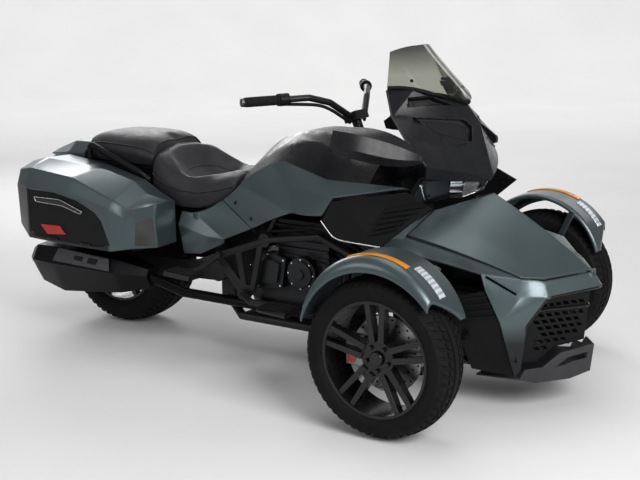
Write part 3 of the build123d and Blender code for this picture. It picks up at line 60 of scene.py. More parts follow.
def outer_face(node_name, hand):
    """How far out a CAD node's box reaches on its own side."""
    low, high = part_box(node_name)
    return low[1] if hand < 0 else high[1]


# Places are in metres from the front axle's middle on the ground, as the photograph was measured
AXLE_X = middle_of("rim_front_right")[0]


def at(x, y, z):
    return Vector((x + AXLE_X, y, z))


def spots(hand, points):
    """Places on one side of the machine, from points given for the left side."""
    return [at(x, hand * y, z) for x, y, z in points]


# Materials
PAINT = (0.066, 0.089, 0.096)
PAINT_SHADOW = (0.008, 0.01, 0.011)
BLACK = (0.0045, 0.0048, 0.0053)
CHARCOAL = (0.0095, 0.0098, 0.011)
AMBER = (0.74, 0.27, 0.018)
DIODE_DARK = (0.36, 0.38, 0.41)
DIODE_LIGHT = (0.60, 0.64, 0.70)
FLAKE_SCALE = 1800.0
LEATHER_SCALE = 420.0
LENS_RIBS = 160.0
DIODE_RIBS = 24.0
ACRYLIC = 1.49
SCREEN_IOR = 1.3
ROUNDED = 0.0025
PANEL_ROUNDED = 0.010
BAG_ROUNDED = 0.018
BEVEL_SAMPLES = 6
MIX_A, MIX_B, MIX_OUT = 6, 7, 2      # colour sockets of a Mix node


def shader(name, color, roughness, metallic=0.0, **extra):
    """New Principled material; extra sets other sockets by name, with _ for a space."""
    mat = bpy.data.materials.new(name)
    mat.use_nodes = True
    tree = mat.node_tree
    bsdf = tree.nodes["Principled BSDF"]
    bsdf.inputs["Base Color"].default_value = (*color, 1)
    bsdf.inputs["Roughness"].default_value = roughness
    bsdf.inputs["Metallic"].default_value = metallic
    for key, value in extra.items():
        bsdf.inputs[key.replace("_", " ")].default_value = value
    mat.diffuse_color = (*color, 1)
    return mat, tree, bsdf


def node(tree, kind, **values):
    made = tree.nodes.new(kind)
    for key, value in values.items():
        if key in made.inputs:
            made.inputs[key].default_value = value
        else:
            setattr(made, key, value)
    return made


def coordinates(tree):
    return node(tree, "ShaderNodeTexCoord").outputs["Object"]


def texture(tree, kind, output, **values):
    made = node(tree, kind, **values)
    tree.links.new(coordinates(tree), made.inputs["Vector"])
    return made.outputs[output]


def noise(tree, scale, detail=3.0):
    return texture(tree, "ShaderNodeTexNoise", "Fac", Scale=scale, Detail=detail)


def cells(tree, scale, feature="F1", output="Distance"):
    return texture(tree, "ShaderNodeTexVoronoi", output, feature=feature, Scale=scale)


def waves(tree, scale):
    return texture(tree, "ShaderNodeTexWave", "Fac", Scale=scale)


def ramp(tree, source, stops):
    """Colour ramp; each stop is a place and a colour or a grey level."""
    made = node(tree, "ShaderNodeValToRGB")
    marks = made.color_ramp.elements
    while len(marks) < len(stops):
        marks.new(0.5)
    for mark, (place, tone) in zip(marks, stops):
        mark.position = place
        mark.color = (*tone, 1) if isinstance(tone, tuple) else (tone, tone, tone, 1)
    tree.links.new(source, made.inputs["Fac"])
    return made.outputs["Color"]


def feed(tree, bsdf, socket, source, stops):
    """Lead a source through a ramp into a socket of the shader."""
    tree.links.new(ramp(tree, source, stops), bsdf.inputs[socket])


def bump(tree, bsdf, source, strength, distance, edge=ROUNDED):
    """Surface relief over edges that catch the light as if rounded by the edge radius."""
    made = node(tree, "ShaderNodeBump", Strength=strength, Distance=distance)
    tree.links.new(source, made.inputs["Height"])
    rounded = node(tree, "ShaderNodeBevel", samples=BEVEL_SAMPLES, Radius=edge)
    tree.links.new(rounded.outputs["Normal"], made.inputs["Normal"])
    tree.links.new(made.outputs["Normal"], bsdf.inputs["Normal"])


def shade(color, factor):
    return tuple(min(1.0, c * factor) for c in color)


def along(tree, axis):
    """One coordinate of the surface, in metres."""
    return texture(tree, "ShaderNodeSeparateXYZ", axis)


def compare(tree, axis, operation, level):
    """One where a coordinate lies on the asked side of a level, else nought."""
    step = node(tree, "ShaderNodeMath", operation=operation)
    tree.links.new(along(tree, axis), step.inputs[0])
    step.inputs[1].default_value = level
    return step.outputs["Value"]


def both(tree, operation, first, second):
    made = node(tree, "ShaderNodeMath", operation=operation)
    tree.links.new(first, made.inputs[0])
    tree.links.new(second, made.inputs[1])
    return made.outputs["Value"]


def blend(tree, factor, first, second):
    """Mix of two tones, each a colour or a node's output."""
    mix = node(tree, "ShaderNodeMix", data_type="RGBA")
    tree.links.new(factor, mix.inputs["Factor"])
    for socket, tone in ((MIX_A, first), (MIX_B, second)):
        if isinstance(tone, tuple):
            mix.inputs[socket].default_value = (*tone, 1)
        else:
            tree.links.new(tone, mix.inputs[socket])
    return mix.outputs[MIX_OUT]


def height_mix(tree, low, high, below, above):
    """Colour that changes with height between two levels."""
    span = node(tree, "ShaderNodeMapRange")
    span.inputs["From Min"].default_value = low
    span.inputs["From Max"].default_value = high
    tree.links.new(along(tree, "Z"), span.inputs["Value"])
    return blend(tree, span.outputs["Result"], below, above)


def paint(name, shade_heights=None, edge=PANEL_ROUNDED):
    """Satin metallic paint with fine flakes; given two heights, it darkens towards the lower one to a shaded
    copy of the paint, as painted shade.
    """
    mat, tree, bsdf = shader(name, PAINT, roughness=0.36, metallic=0.72, Coat_Weight=0.35,
                             Coat_Roughness=0.16)
    flakes = ramp(tree, cells(tree, FLAKE_SCALE, output="Color"),
                  [(0.0, shade(PAINT, 0.82)), (0.6, PAINT), (1.0, shade(PAINT, 1.5))])
    # Painted shade: below the lower height the paint becomes its own hue dimmed to near black
    if shade_heights:
        flakes = height_mix(tree, *shade_heights, PAINT_SHADOW, flakes)
    tree.links.new(flakes, bsdf.inputs["Base Color"])
    feed(tree, bsdf, "Roughness", noise(tree, 9.0), [(0.3, 0.33), (0.7, 0.41)])
    bump(tree, bsdf, noise(tree, 420.0, 1.0), strength=0.03, distance=0.0004, edge=edge)
    return mat


def bag_finish(name, rear_x, rear_z, low_x, low_z):
    """Body paint with black round the door: behind it up to one level and below it."""
    mat = paint(name, edge=BAG_ROUNDED)
    tree = mat.node_tree
    base = tree.nodes["Principled BSDF"].inputs["Base Color"]
    rear, low = (both(tree, "MINIMUM", compare(tree, "X", "LESS_THAN", x), compare(tree, "Z", "LESS_THAN", z))
                 for x, z in ((rear_x, rear_z), (low_x, low_z)))
    dark = both(tree, "MAXIMUM", rear, low)
    tree.links.new(blend(tree, dark, base.links[0].from_socket, BLACK), base)
    return mat


def moulded(name, color, roughness, scale=900.0, strength=0.25, **extra):
    """Moulded plastic or painted metal: fine grain, and a little unevenness in tone and gloss."""
    mat, tree, bsdf = shader(name, color, roughness, **extra)
    feed(tree, bsdf, "Base Color", noise(tree, 14.0), [(0.3, shade(color, 0.85)), (0.7, shade(color, 1.15))])
    feed(tree, bsdf, "Roughness", noise(tree, 40.0), [(0.3, roughness - 0.05), (0.7, roughness + 0.06)])
    bump(tree, bsdf, noise(tree, scale, 2.0), strength, distance=0.0003)
    return mat


def metal(name, color, roughness, scale, streak=(1, 1, 1), strength=0.15):
    """Bare metal with brushing or casting texture; streak stretches the grain."""
    mat, tree, bsdf = shader(name, color, roughness, metallic=1.0)
    place = node(tree, "ShaderNodeMapping")
    place.inputs["Scale"].default_value = streak
    tree.links.new(coordinates(tree), place.inputs["Vector"])
    texture_node = node(tree, "ShaderNodeTexNoise", Scale=scale, Detail=4.0)
    tree.links.new(place.outputs["Vector"], texture_node.inputs["Vector"])
    grain = texture_node.outputs["Fac"]
    feed(tree, bsdf, "Base Color", grain, [(0.3, shade(color, 0.8)), (0.7, shade(color, 1.15))])
    feed(tree, bsdf, "Roughness", grain, [(0.3, max(0.04, roughness - 0.08)), (0.7, roughness + 0.1)])
    bump(tree, bsdf, grain, strength, distance=0.0003)
    return mat


def rubber(name, color):
    """Dull rubber with a little dust."""
    mat, tree, bsdf = shader(name, color, roughness=0.68, Specular_IOR_Level=0.12)
    feed(tree, bsdf, "Base Color", noise(tree, 11.0), [(0.35, color), (0.75, shade(color, 1.6))])
    feed(tree, bsdf, "Roughness", noise(tree, 60.0), [(0.3, 0.62), (0.7, 0.8)])
    bump(tree, bsdf, noise(tree, 700.0), strength=0.3, distance=0.0004)
    return mat


def vinyl(name, color):
    """Grained seat cover: pebbled leather grain with soft sheen."""
    mat, tree, bsdf = shader(name, color, roughness=0.5, Specular_IOR_Level=0.3, Sheen_Weight=0.06,
                             Sheen_Roughness=0.4)
    grain = ramp(tree, cells(tree, LEATHER_SCALE, "DISTANCE_TO_EDGE"), [(0.0, 0.0), (0.12, 0.8), (0.5, 1.0)])
    feed(tree, bsdf, "Base Color", noise(tree, 7.0), [(0.3, shade(color, 0.85)), (0.75, shade(color, 1.3))])
    feed(tree, bsdf, "Roughness", noise(tree, 30.0), [(0.3, 0.42), (0.7, 0.56)])
    bump(tree, bsdf, grain, strength=0.35, distance=0.0005)
    return mat


def lens(name, color, roughness=0.04, weight=0.9):
    """Clear or coloured moulded lens with fine ribs."""
    mat, tree, bsdf = shader(name, color, roughness, Transmission_Weight=weight, IOR=ACRYLIC)
    bump(tree, bsdf, waves(tree, LENS_RIBS), strength=0.2, distance=0.0004)
    return mat


def smoked(name, low, high, clear, dark):
    """Tinted screen, darker towards its top edge."""
    mat, tree, bsdf = shader(name, clear, roughness=0.03, Transmission_Weight=1.0, IOR=SCREEN_IOR)
    tree.links.new(height_mix(tree, low, high, clear, dark), bsdf.inputs["Base Color"])
    feed(tree, bsdf, "Roughness", noise(tree, 25.0), [(0.3, 0.02), (0.7, 0.05)])
    return mat


def lamp_strip(name, split_x):
    """Fender lamp strips: amber on the crown, pale ribbed cells in front of the split."""
    mat, tree, bsdf = shader(name, AMBER, roughness=0.12, Transmission_Weight=0.3, IOR=ACRYLIC)
    ribs = waves(tree, DIODE_RIBS)
    diodes = ramp(tree, ribs, [(0.2, DIODE_DARK), (0.6, DIODE_LIGHT)])
    front = compare(tree, "X", "GREATER_THAN", split_x)
    tree.links.new(blend(tree, front, AMBER, diodes), bsdf.inputs["Base Color"])
    bump(tree, bsdf, ribs, strength=0.25, distance=0.0005)
    return mat


# Painted shade: between these two heights the nose paint darkens to a shaded copy of itself towards the
# bottom
NOSE_PAINTED_SHADE = (0.27, 0.345)
TINT_START = 0.1
screen_low, screen_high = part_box("windscreen")
body_paint = paint("body_paint")
nose_paint = paint("nose_paint", NOSE_PAINTED_SHADE)
bag_paint = bag_finish("bag_paint", rear_x=AXLE_X - 1.893, rear_z=0.638, low_x=AXLE_X - 1.425, low_z=0.447)
charcoal = moulded("charcoal", CHARCOAL, roughness=0.28, scale=600.0, strength=0.04, Specular_IOR_Level=0.18)
black_plastic = moulded("black_plastic", BLACK, roughness=0.46, Specular_IOR_Level=0.14)
gloss_black = moulded("gloss_black", BLACK, roughness=0.16, scale=300.0, strength=0.03,
                      Specular_IOR_Level=0.4)
chin_grey = moulded("chin_grey", (0.027, 0.0277, 0.030), roughness=0.42, Specular_IOR_Level=0.3)
wheel_black = moulded("wheel_black", (0.0045, 0.0045, 0.005), roughness=0.24, scale=300.0, strength=0.03,
                      Specular_IOR_Level=0.4)
frame_black = moulded("frame_black", (0.0065, 0.0065, 0.007), roughness=0.38, scale=500.0, strength=0.15,
                      Specular_IOR_Level=0.26)
tyre_rubber = rubber("tyre_rubber", (0.004, 0.004, 0.0043))
soft_rubber = rubber("soft_rubber", (0.006, 0.006, 0.0065))
insert_rubber = rubber("insert_rubber", (0.040, 0.0392, 0.038))
disc_steel = metal("disc_steel", (0.30, 0.30, 0.305), roughness=0.32, scale=240.0, streak=(1, 12, 1))
damper_steel = metal("damper_steel", (0.075, 0.075, 0.08), roughness=0.4, scale=120.0)
cast_alloy = metal("cast_alloy", (0.30, 0.305, 0.31), roughness=0.42, scale=180.0, strength=0.3)
engine_alloy = metal("engine_alloy", (0.038, 0.039, 0.041), roughness=0.42, scale=160.0, strength=0.3)
bright_steel = metal("bright_steel", (0.62, 0.62, 0.63), roughness=0.2, scale=90.0)
exhaust_dark = metal("exhaust_dark", (0.013, 0.013, 0.0145), roughness=0.38, scale=60.0, streak=(1, 3, 3),
                     strength=0.1)
chrome = metal("chrome", (0.86, 0.87, 0.88), roughness=0.06, scale=40.0, strength=0.02)
seat_vinyl = vinyl("seat_vinyl", (0.0155, 0.0157, 0.0178))
side_vinyl = vinyl("side_vinyl", (0.008, 0.008, 0.009))
clear_lens = lens("clear_lens", (0.92, 0.94, 0.96))
red_lens = lens("red_lens", (0.55, 0.012, 0.01), roughness=0.1, weight=0.35)
red_paint = moulded("red_paint", (0.45, 0.012, 0.012), roughness=0.3, scale=300.0, strength=0.05,
                    Coat_Weight=0.4)
screen_tint = smoked("screen_tint", screen_low[2] + TINT_START, screen_high[2], clear=(0.36, 0.365, 0.31),
                     dark=(0.05, 0.053, 0.05))
display_face = moulded("display_face", (0.006, 0.008, 0.012), roughness=0.12, scale=300.0, strength=0.02)
fender_strip = lamp_strip("fender_strip", split_x=AXLE_X + 0.128)

FINISH = {
    "body_paint": body_paint, "black_plastic": black_plastic, "gloss_black": charcoal,
    "tyre_rubber": tyre_rubber, "wheel_black": wheel_black, "disc_steel": disc_steel,
    "frame_black": frame_black, "cast_alloy": cast_alloy, "engine_alloy": engine_alloy,
    "exhaust_dark": exhaust_dark, "seat_vinyl": seat_vinyl, "clear_screen": screen_tint,
    "lamp_lens": clear_lens, "red_lens": red_lens, "mirror_silver": chrome, "belt_rubber": soft_rubber,
    "grip_rubber": soft_rubber, "damper_steel": damper_steel, "chin_grey": chin_grey}
SPECIAL = {
    "nose_fascia": nose_paint, "fender_lamps_right": fender_strip, "fender_lamps_left": fender_strip,
    "saddlebag_right": bag_paint, "saddlebag_left": bag_paint, "intake_panels": black_plastic,
    "rear_sprocket_and_disc": damper_steel, "headlights": gloss_black, "mirror_pods": charcoal,
    "knuckle_right": frame_black, "knuckle_left": frame_black, "footrests": frame_black,
    "luggage_tub": black_plastic}
for part in frame["record"]["subparts"]:
    obj = nodes[part["node"]]
    obj.data.materials.clear()
    obj.data.materials.append(SPECIAL.get(part["node"], FINISH[part["material_slot"]]))

# Edges of the hard parts are rounded over as moulded and cast pieces are
EDGE = 0.0022
FINE_EDGE = 0.001
EDGE_STEPS = 2
EDGE_ANGLE = math.radians(28)
WELD_WITHIN = 0.00005
FACE_WEIGHT = 60
THIN = {"windscreen", "mirror_glasses", "drive_belt", "fender_lamps_right", "fender_lamps_left", "grille"}
BARE = {"tyre_front_right", "tyre_front_left", "tyre_rear", "seat_rider", "seat_passenger"}


def soften(obj, width):
    weld = obj.modifiers.new("Weld", "WELD")
    weld.merge_threshold = WELD_WITHIN
    edge = obj.modifiers.new("Edge", "BEVEL")
    edge.width = width
    edge.segments = EDGE_STEPS
    edge.limit_method = "ANGLE"
    edge.angle_limit = EDGE_ANGLE
    edge.use_clamp_overlap = True
    edge.miter_outer = "MITER_ARC"
    normals = obj.modifiers.new("Normals", "WEIGHTED_NORMAL")
    normals.keep_sharp = False
    normals.weight = FACE_WEIGHT


# Pieces
TUBE_STEPS = 3
TUBE_ORDER = 3
STUD_TAPER = 0.86
STUD_EDGE = 0.12
ROUND_FROM = 8
TURNED_SEGMENTS = 28
TURNED_EDGE = 0.0004


def mount(obj, body):
    """Add an object to the scene on the body that it moves with."""
    scene.collection.objects.link(obj)
    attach(obj, body)
    return obj


def piece(name, mesh, material, body, smooth):
    mesh.materials.append(material)
    for face in mesh.polygons:
        face.use_smooth = smooth
    return mount(bpy.data.objects.new(name, mesh), body)


def from_lists(name, verts, faces, material, body, smooth=False):
    mesh = bpy.data.meshes.new(name)
    mesh.from_pydata([tuple(v) for v in verts], [], faces)
    mesh.update()
    return piece(name, mesh, material, body, smooth)


def outward(obj, sharp=None):
    """Turn faces outward; with an angle given, smooth them except at edges sharper than that."""
    work = bmesh.new()
    work.from_mesh(obj.data)
    bmesh.ops.recalc_face_normals(work, faces=work.faces)
    if sharp is not None:
        for edge in work.edges:
            edge.smooth = edge.calc_face_angle(0.0) < sharp
        for face in work.faces:
            face.smooth = True
    work.to_mesh(obj.data)
    work.free()


def tube(name, points, material, body, radius, cyclic=False):
    """Round bead or bar along a smooth curve through points."""
    curve = bpy.data.curves.new(name, "CURVE")
    curve.dimensions = "3D"
    curve.bevel_depth = radius
    curve.bevel_resolution = TUBE_STEPS
    curve.use_fill_caps = True
    run = curve.splines.new("NURBS")
    run.points.add(len(points) - 1)
    for point, place in zip(run.points, points):
        point.co = (*place, 1)
    run.use_cyclic_u = cyclic
    run.use_endpoint_u = not cyclic
    run.order_u = TUBE_ORDER
    curve.materials.append(material)
    mount(bpy.data.objects.new(name, curve), body)


def slab(name, outline, material, body, normal, depth, edge=FINE_EDGE):
    """Plate with the given outline, standing proud by depth, with rounded edges."""
    lift = Vector(normal).normalized() * depth
    count = len(outline)
    verts = [Vector(p) for p in outline] + [Vector(p) + lift for p in outline]
    sides = [(i, (i + 1) % count, count + (i + 1) % count, count + i) for i in range(count)]
    faces = [tuple(range(count))[::-1], tuple(range(count, 2 * count))] + sides
    obj = from_lists(name, verts, faces, material, body)
    outward(obj)
    soften(obj, edge)


def studs(name, places, material, body, normal, radius, height, sides=6):
    """Short round or six-sided heads at several places, joined into one piece."""
    work = bmesh.new()
    turn = UP.rotation_difference(Vector(normal)).to_matrix().to_4x4()
    for place in places:
        spot = Matrix.Translation(Vector(place)) @ turn @ Matrix.Translation((0, 0, height / 2))
        bmesh.ops.create_cone(work, cap_ends=True, segments=sides, radius1=radius,
                              radius2=radius * STUD_TAPER, depth=height, matrix=spot)
    mesh = bpy.data.meshes.new(name)
    work.to_mesh(mesh)
    work.free()
    obj = piece(name, mesh, material, body, sides > ROUND_FROM)
    soften(obj, radius * STUD_EDGE)


def lathe(name, start, toward, profile, material, body):
    """Turned piece on an axis: profile gives the distance along it and the radius."""
    axis = (Vector(toward) - Vector(start)).normalized()
    turn = UP.rotation_difference(axis).to_matrix()
    wide = TURNED_SEGMENTS
    verts, faces = [], []
    for t, r in profile:
        for n in range(wide):
            a = math.tau * n / wide
            verts.append(Vector(start) + turn @ Vector((r * math.cos(a), r * math.sin(a), t)))
    for i in range(len(profile) - 1):
        for n in range(wide):
            m = (n + 1) % wide
            faces.append((i * wide + n, i * wide + m, (i + 1) * wide + m, (i + 1) * wide + n))
    faces.append(tuple(range(wide))[::-1])
    faces.append(tuple(range((len(profile) - 1) * wide, len(profile) * wide)))
    soften(from_lists(name, verts, faces, material, body, True), TURNED_EDGE)


def hug(obj, points, lift):
    """Points moved onto an object's surface, standing off by lift."""
    moved = []
    inverse = obj.matrix_world.inverted()
    for point in points:
        spot, normal = obj.closest_point_on_mesh(inverse @ Vector(point))[1:3]
        moved.append(obj.matrix_world @ (spot + normal * lift))
    return moved


def fine(points, steps=6):
    """Extra points between the given ones."""
    out = []
    for p, q in zip(points, points[1:]):
        out += [Vector(p).lerp(Vector(q), n / steps) for n in range(steps)]
    return out + [Vector(points[-1])]


# Tyres with tread blocks: rows across the section, columns round the wheel
SHOULDER_DROP = 0.015
SHOULDER_IN = 0.014
GROOVE_DEPTH = 0.006
GROOVE_HALF = 0.0042
CROSS_SHARE = 0.9
WALL_SLOPE = 0.0012
WALL_STEPS = 12
WALL_RIDGE = 0.0016
RIDGE_ROWS = (3, 4, 9)
SHOULDER_ROW = 10
BULGE_SHARE = 0.46
RIM_GAP = 0.0003
PLAIN_ROWS = (-0.97, -0.9, -0.8, 0.8, 0.9, 0.97)
PITCHES = 56
BLOCK = ((0.0, 0.0), (0.2, 0.0), (0.4, 0.0), (0.6, 0.0), (0.64, 1.0), (0.82, 1.0), (0.96, 1.0))
SLANT = 1.6
TREAD_SHARP = math.radians(26)
FRONT_BEAD, FRONT_GROOVES = 0.070, (-0.044, -0.016, 0.016, 0.044)
REAR_BEAD, REAR_GROOVES = 0.098, (-0.068, -0.026, 0.026, 0.068)


def arc(p, q, r, steps):
    """Points of the circle from p through q to r, in a plane."""
    ax, ay, bx, by, cx, cy = *p, *q, *r
    d = 2 * (ax * (by - cy) + bx * (cy - ay) + cx * (ay - by))
    ux = ((ax**2 + ay**2) * (by - cy) + (bx**2 + by**2) * (cy - ay) + (cx**2 + cy**2) * (ay - by)) / d
    uy = ((ax**2 + ay**2) * (cx - bx) + (bx**2 + by**2) * (ax - cx) + (cx**2 + cy**2) * (bx - ax)) / d
    radius = math.hypot(ax - ux, ay - uy)
    start = math.atan2(ay - uy, ax - ux)
    sweep = [(math.atan2(t[1] - uy, t[0] - ux) - start) % math.tau for t in (q, r)]
    end = sweep[1] if sweep[0] < sweep[1] else sweep[1] - math.tau
    angles = [start + end * i / steps for i in range(steps + 1)]
    return [(ux + radius * math.cos(a), uy + radius * math.sin(a)) for a in angles]


def tread_rows(half, radius, shoulder, grooves):
    """Crown rows as (y, r, groove depth, share of the cross grooves), from -half to +half."""
    rise = radius - shoulder
    edges = []
    for g in grooves:
        edges += [(g - GROOVE_HALF - WALL_SLOPE, 0.0), (g - GROOVE_HALF, GROOVE_DEPTH),
                  (g + GROOVE_HALF, GROOVE_DEPTH), (g + GROOVE_HALF + WALL_SLOPE, 0.0)]
    plain = [(half * t, 0.0) for t in PLAIN_ROWS]
    rows = []
    for y, depth in sorted(edges + plain):
        r = radius - rise * (y / half) ** 2
        share = 0.0 if abs(y) < min(abs(g) for g in grooves) - GROOVE_HALF else 1.0
        rows.append((y, r, depth, share))
    return rows


def tyre(name, node_name, rim_name, bead_half, body, grooves):
    low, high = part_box(node_name)
    centre = middle_of(node_name)
    radius = (high[2] - low[2]) / 2
    half = (high[1] - low[1]) / 2
    rim_low, rim_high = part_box(rim_name)
    bore = (rim_high[2] - rim_low[2]) / 2 + RIM_GAP
    bulge = bore + BULGE_SHARE * (radius - bore)
    top = radius - SHOULDER_DROP
    wall = arc((bead_half, bore), (half, bulge), (half - SHOULDER_IN, top), WALL_STEPS)
    side = []
    for i, (y, r) in enumerate(wall):
        ridge = WALL_RIDGE if i in RIDGE_ROWS else 0.0
        side.append((y + ridge, r, 0.0, max(0.0, (i - SHOULDER_ROW) / (WALL_STEPS - SHOULDER_ROW))))
    crown = tread_rows(half - SHOULDER_IN, radius, top, grooves)
    rows = [(-y, r, d, s) for y, r, d, s in side] + crown + side[::-1]
    columns = [((n + t) / PITCHES, cut) for n in range(PITCHES) for t, cut in BLOCK]
    verts, faces = [], []
    for turn, cut in columns:
        for y, r, depth, share in rows:
            angle = math.tau * turn + SLANT * abs(y)
            q = r - max(depth, cut * share * GROOVE_DEPTH * CROSS_SHARE)
            verts.append((centre[0] + q * math.cos(angle), centre[1] + y, centre[2] + q * math.sin(angle)))
    count, wide = len(columns), len(rows)
    for i in range(count):
        j = (i + 1) % count
        for k in range(wide):
            m = (k + 1) % wide
            faces.append((i * wide + k, i * wide + m, j * wide + m, j * wide + k))
    obj = from_lists(name, verts, faces, tyre_rubber, body)
    outward(obj, TREAD_SHARP)
    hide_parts(node_name)


for _, side in HANDS:
    tyre("front_tyre_" + side, "tyre_front_" + side, "rim_front_" + side, FRONT_BEAD, "wheel_front_" + side,
         FRONT_GROOVES)
tyre("rear_tyre", "tyre_rear", "rim_rear", REAR_BEAD, "wheel_rear", REAR_GROOVES)

# Wheel nuts, centre caps, drilled discs, caliper bands and brake hoses
NUTS = 5
NUT_RING = 0.043
HUB_FACE = 0.0415
CAP_FACE = 0.0465
HOLES = 36
HOLE_RINGS = (0.097, 0.110, 0.123)
HOLE_PROUD = 0.0001
BAND = ((0.006, -0.044), (0.036, -0.044), (0.052, -0.004), (0.006, -0.004))
HOSE_AT_CALIPER = ((0.03, 0.046, 0.05), (0.02, 0.07, 0.13))
HOSE_AT_HUB = ((-0.05, 0.075, 0.10), (-0.02, 0.078, 0.065))
for hand, side in HANDS:
    hub = Vector(middle_of("rim_front_" + side))
    out = Vector((0, hand, 0))
    wheel, knuckle = "wheel_front_" + side, "knuckle_" + side
    turns = [math.tau * (n + 0.5) / NUTS for n in range(NUTS)]
    ring = [hub + out * HUB_FACE + Vector((NUT_RING * math.sin(a), 0, NUT_RING * math.cos(a))) for a in turns]
    studs("wheel_nuts_" + side, ring, gloss_black, wheel, out, radius=0.0095, height=0.012)
    studs("centre_cap_" + side, [hub + out * CAP_FACE], wheel_black, wheel, out, radius=0.027,
          height=0.010, sides=40)
    disc_face = outer_face("brake_disc_front_" + side, hand) + hand * HOLE_PROUD
    holes = []
    for n in range(HOLES):
        a = math.tau * n / HOLES
        r = HOLE_RINGS[n % len(HOLE_RINGS)]
        holes.append((hub.x + r * math.cos(a), disc_face, hub.z + r * math.sin(a)))
    studs("disc_holes_" + side, holes, black_plastic, wheel, out, radius=0.0045, height=0.0004,
          sides=12)
    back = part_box("caliper_" + side)[0][0]
    face_y = outer_face("caliper_" + side, hand)
    band = [(back + x, face_y, hub.z + z) for x, z in BAND]
    slab("caliper_band_" + side, band, red_paint, knuckle, out, depth=0.002)
    hose = [(start + x, face_y - hand * y, hub.z + z)
            for start, line in ((back, HOSE_AT_CALIPER), (hub.x, HOSE_AT_HUB)) for x, y, z in line]
    tube("brake_hose_" + side, hose, soft_rubber, knuckle, radius=0.004)

# Seats: padded covers puffed up by a pressure run over the solids' own forms, then seamed
VOXEL = 0.007
COVERS = {"seat_rider": "rider_cushion", "seat_passenger": "passenger_cushion"}
PUFF_CAP = {"seat_rider": 0.022, "seat_passenger": 0.016}
START_IN = 0.004
HELD_SLOPE = -0.6
HELD_HEIGHT = 0.02
FRAMES = 20
PRESSURE = 4.0
STRETCH = 60.0
BENDING = 12.0


def relax(obj, name, iterations):
    smooth = obj.modifiers.new(name, "SMOOTH")
    smooth.factor = 0.5
    smooth.iterations = iterations


def bake(obj):
    """Replace an object's mesh with what its modifiers make of it."""
    made = bpy.data.meshes.new_from_object(obj.evaluated_get(bpy.context.evaluated_depsgraph_get()))
    obj.modifiers.clear()
    obj.data = made


def cushion_copy(node_name, name):
    """Closed mesh of even cells over a seat solid, a little smaller than it, with its base pinned."""
    obj = bpy.data.objects.new(name, nodes[node_name].data.copy())
    scene.collection.objects.link(obj)
    obj.matrix_world = nodes[node_name].matrix_world
    even = obj.modifiers.new("Cells", "REMESH")
    even.mode = "VOXEL"
    even.voxel_size = VOXEL
    bake(obj)
    relax(obj, "Smooth", 4)
    bake(obj)
    verts = obj.data.vertices
    for vert in verts:
        vert.co -= vert.normal * START_IN
    base = min(v.co.z for v in verts)
    pinned = [v.index for v in verts if v.normal.z < HELD_SLOPE or v.co.z < base + HELD_HEIGHT]
    obj.vertex_groups.new(name="held").add(pinned, 1.0, "REPLACE")
    return obj


def puff(objs, caps):
    """Run the pressure on all cushions together and keep each point within its cap."""
    starts = {}
    for obj in objs:
        starts[obj] = [v.co.copy() for v in obj.data.vertices]
        cloth = obj.modifiers.new("Cloth", "CLOTH").settings
        cloth.use_pressure = True
        cloth.uniform_pressure_force = PRESSURE
        cloth.effector_weights.gravity = 0.0
        cloth.vertex_group_mass = "held"
        cloth.quality = 4
        cloth.tension_stiffness = STRETCH
        cloth.compression_stiffness = STRETCH
        cloth.bending_stiffness = BENDING
    for number in range(1, FRAMES + 1):
        scene.frame_set(number)
    graph = bpy.context.evaluated_depsgraph_get()
    ends = {obj: [v.co.copy() for v in obj.evaluated_get(graph).data.vertices] for obj in objs}
    for obj in objs:
        obj.modifiers.clear()
        for vert, start, end in zip(obj.data.vertices, starts[obj], ends[obj]):
            move = end - start
            if move.length > caps[obj]:
                move *= caps[obj] / move.length
            vert.co = start + move
    scene.frame_set(1)


cushions = {}
for node_name, name in COVERS.items():
    cushions[node_name] = cushion_copy(node_name, name)
puff(list(cushions.values()), {cushions[n]: PUFF_CAP[n] for n in cushions})
for node_name, obj in cushions.items():
    obj.data.materials.clear()
    obj.data.materials.append(seat_vinyl)
    for face in obj.data.polygons:
        face.use_smooth = True
    relax(obj, "Taut", 14)
    soft = obj.modifiers.new("Soft", "SUBSURF")
    soft.levels = soft.render_levels = 1
    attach(obj, "chassis")
    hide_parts(node_name)

PIPING = 0.0035
SEAM = 0.0016
SUNK = 0.2
SEAMS = (
    ("rider_piping_", "seat_rider", PIPING,
     [(-1.000, 0.172, 0.690), (-1.060, 0.203, 0.674), (-1.150, 0.223, 0.658), (-1.240, 0.227, 0.662),
      (-1.310, 0.225, 0.678), (-1.366, 0.213, 0.696), (-1.408, 0.194, 0.712)]),
    ("pan_seam_", "seat_rider", SEAM,
     [(-1.030, 0.060, 0.732), (-1.090, 0.100, 0.706), (-1.160, 0.126, 0.688), (-1.240, 0.132, 0.684),
      (-1.300, 0.112, 0.700), (-1.330, 0.060, 0.706), (-1.338, 0.0, 0.708)]),
    ("pillion_piping_", "seat_passenger", PIPING,
     [(-1.424, 0.160, 0.790), (-1.480, 0.168, 0.808), (-1.600, 0.164, 0.816), (-1.740, 0.146, 0.814),
      (-1.830, 0.118, 0.792)]),
    ("pillion_front_", "seat_passenger", PIPING,
     [(-1.423, 0.160, 0.790), (-1.423, 0.120, 0.828), (-1.423, 0.060, 0.838), (-1.423, 0.0, 0.841)]))
for hand, side in HANDS:
    for name, seat, bead, line in SEAMS:
        run = hug(cushions[seat], fine(spots(hand, line)), bead * SUNK)
        tube(name + side, run, side_vinyl, "chassis", bead)

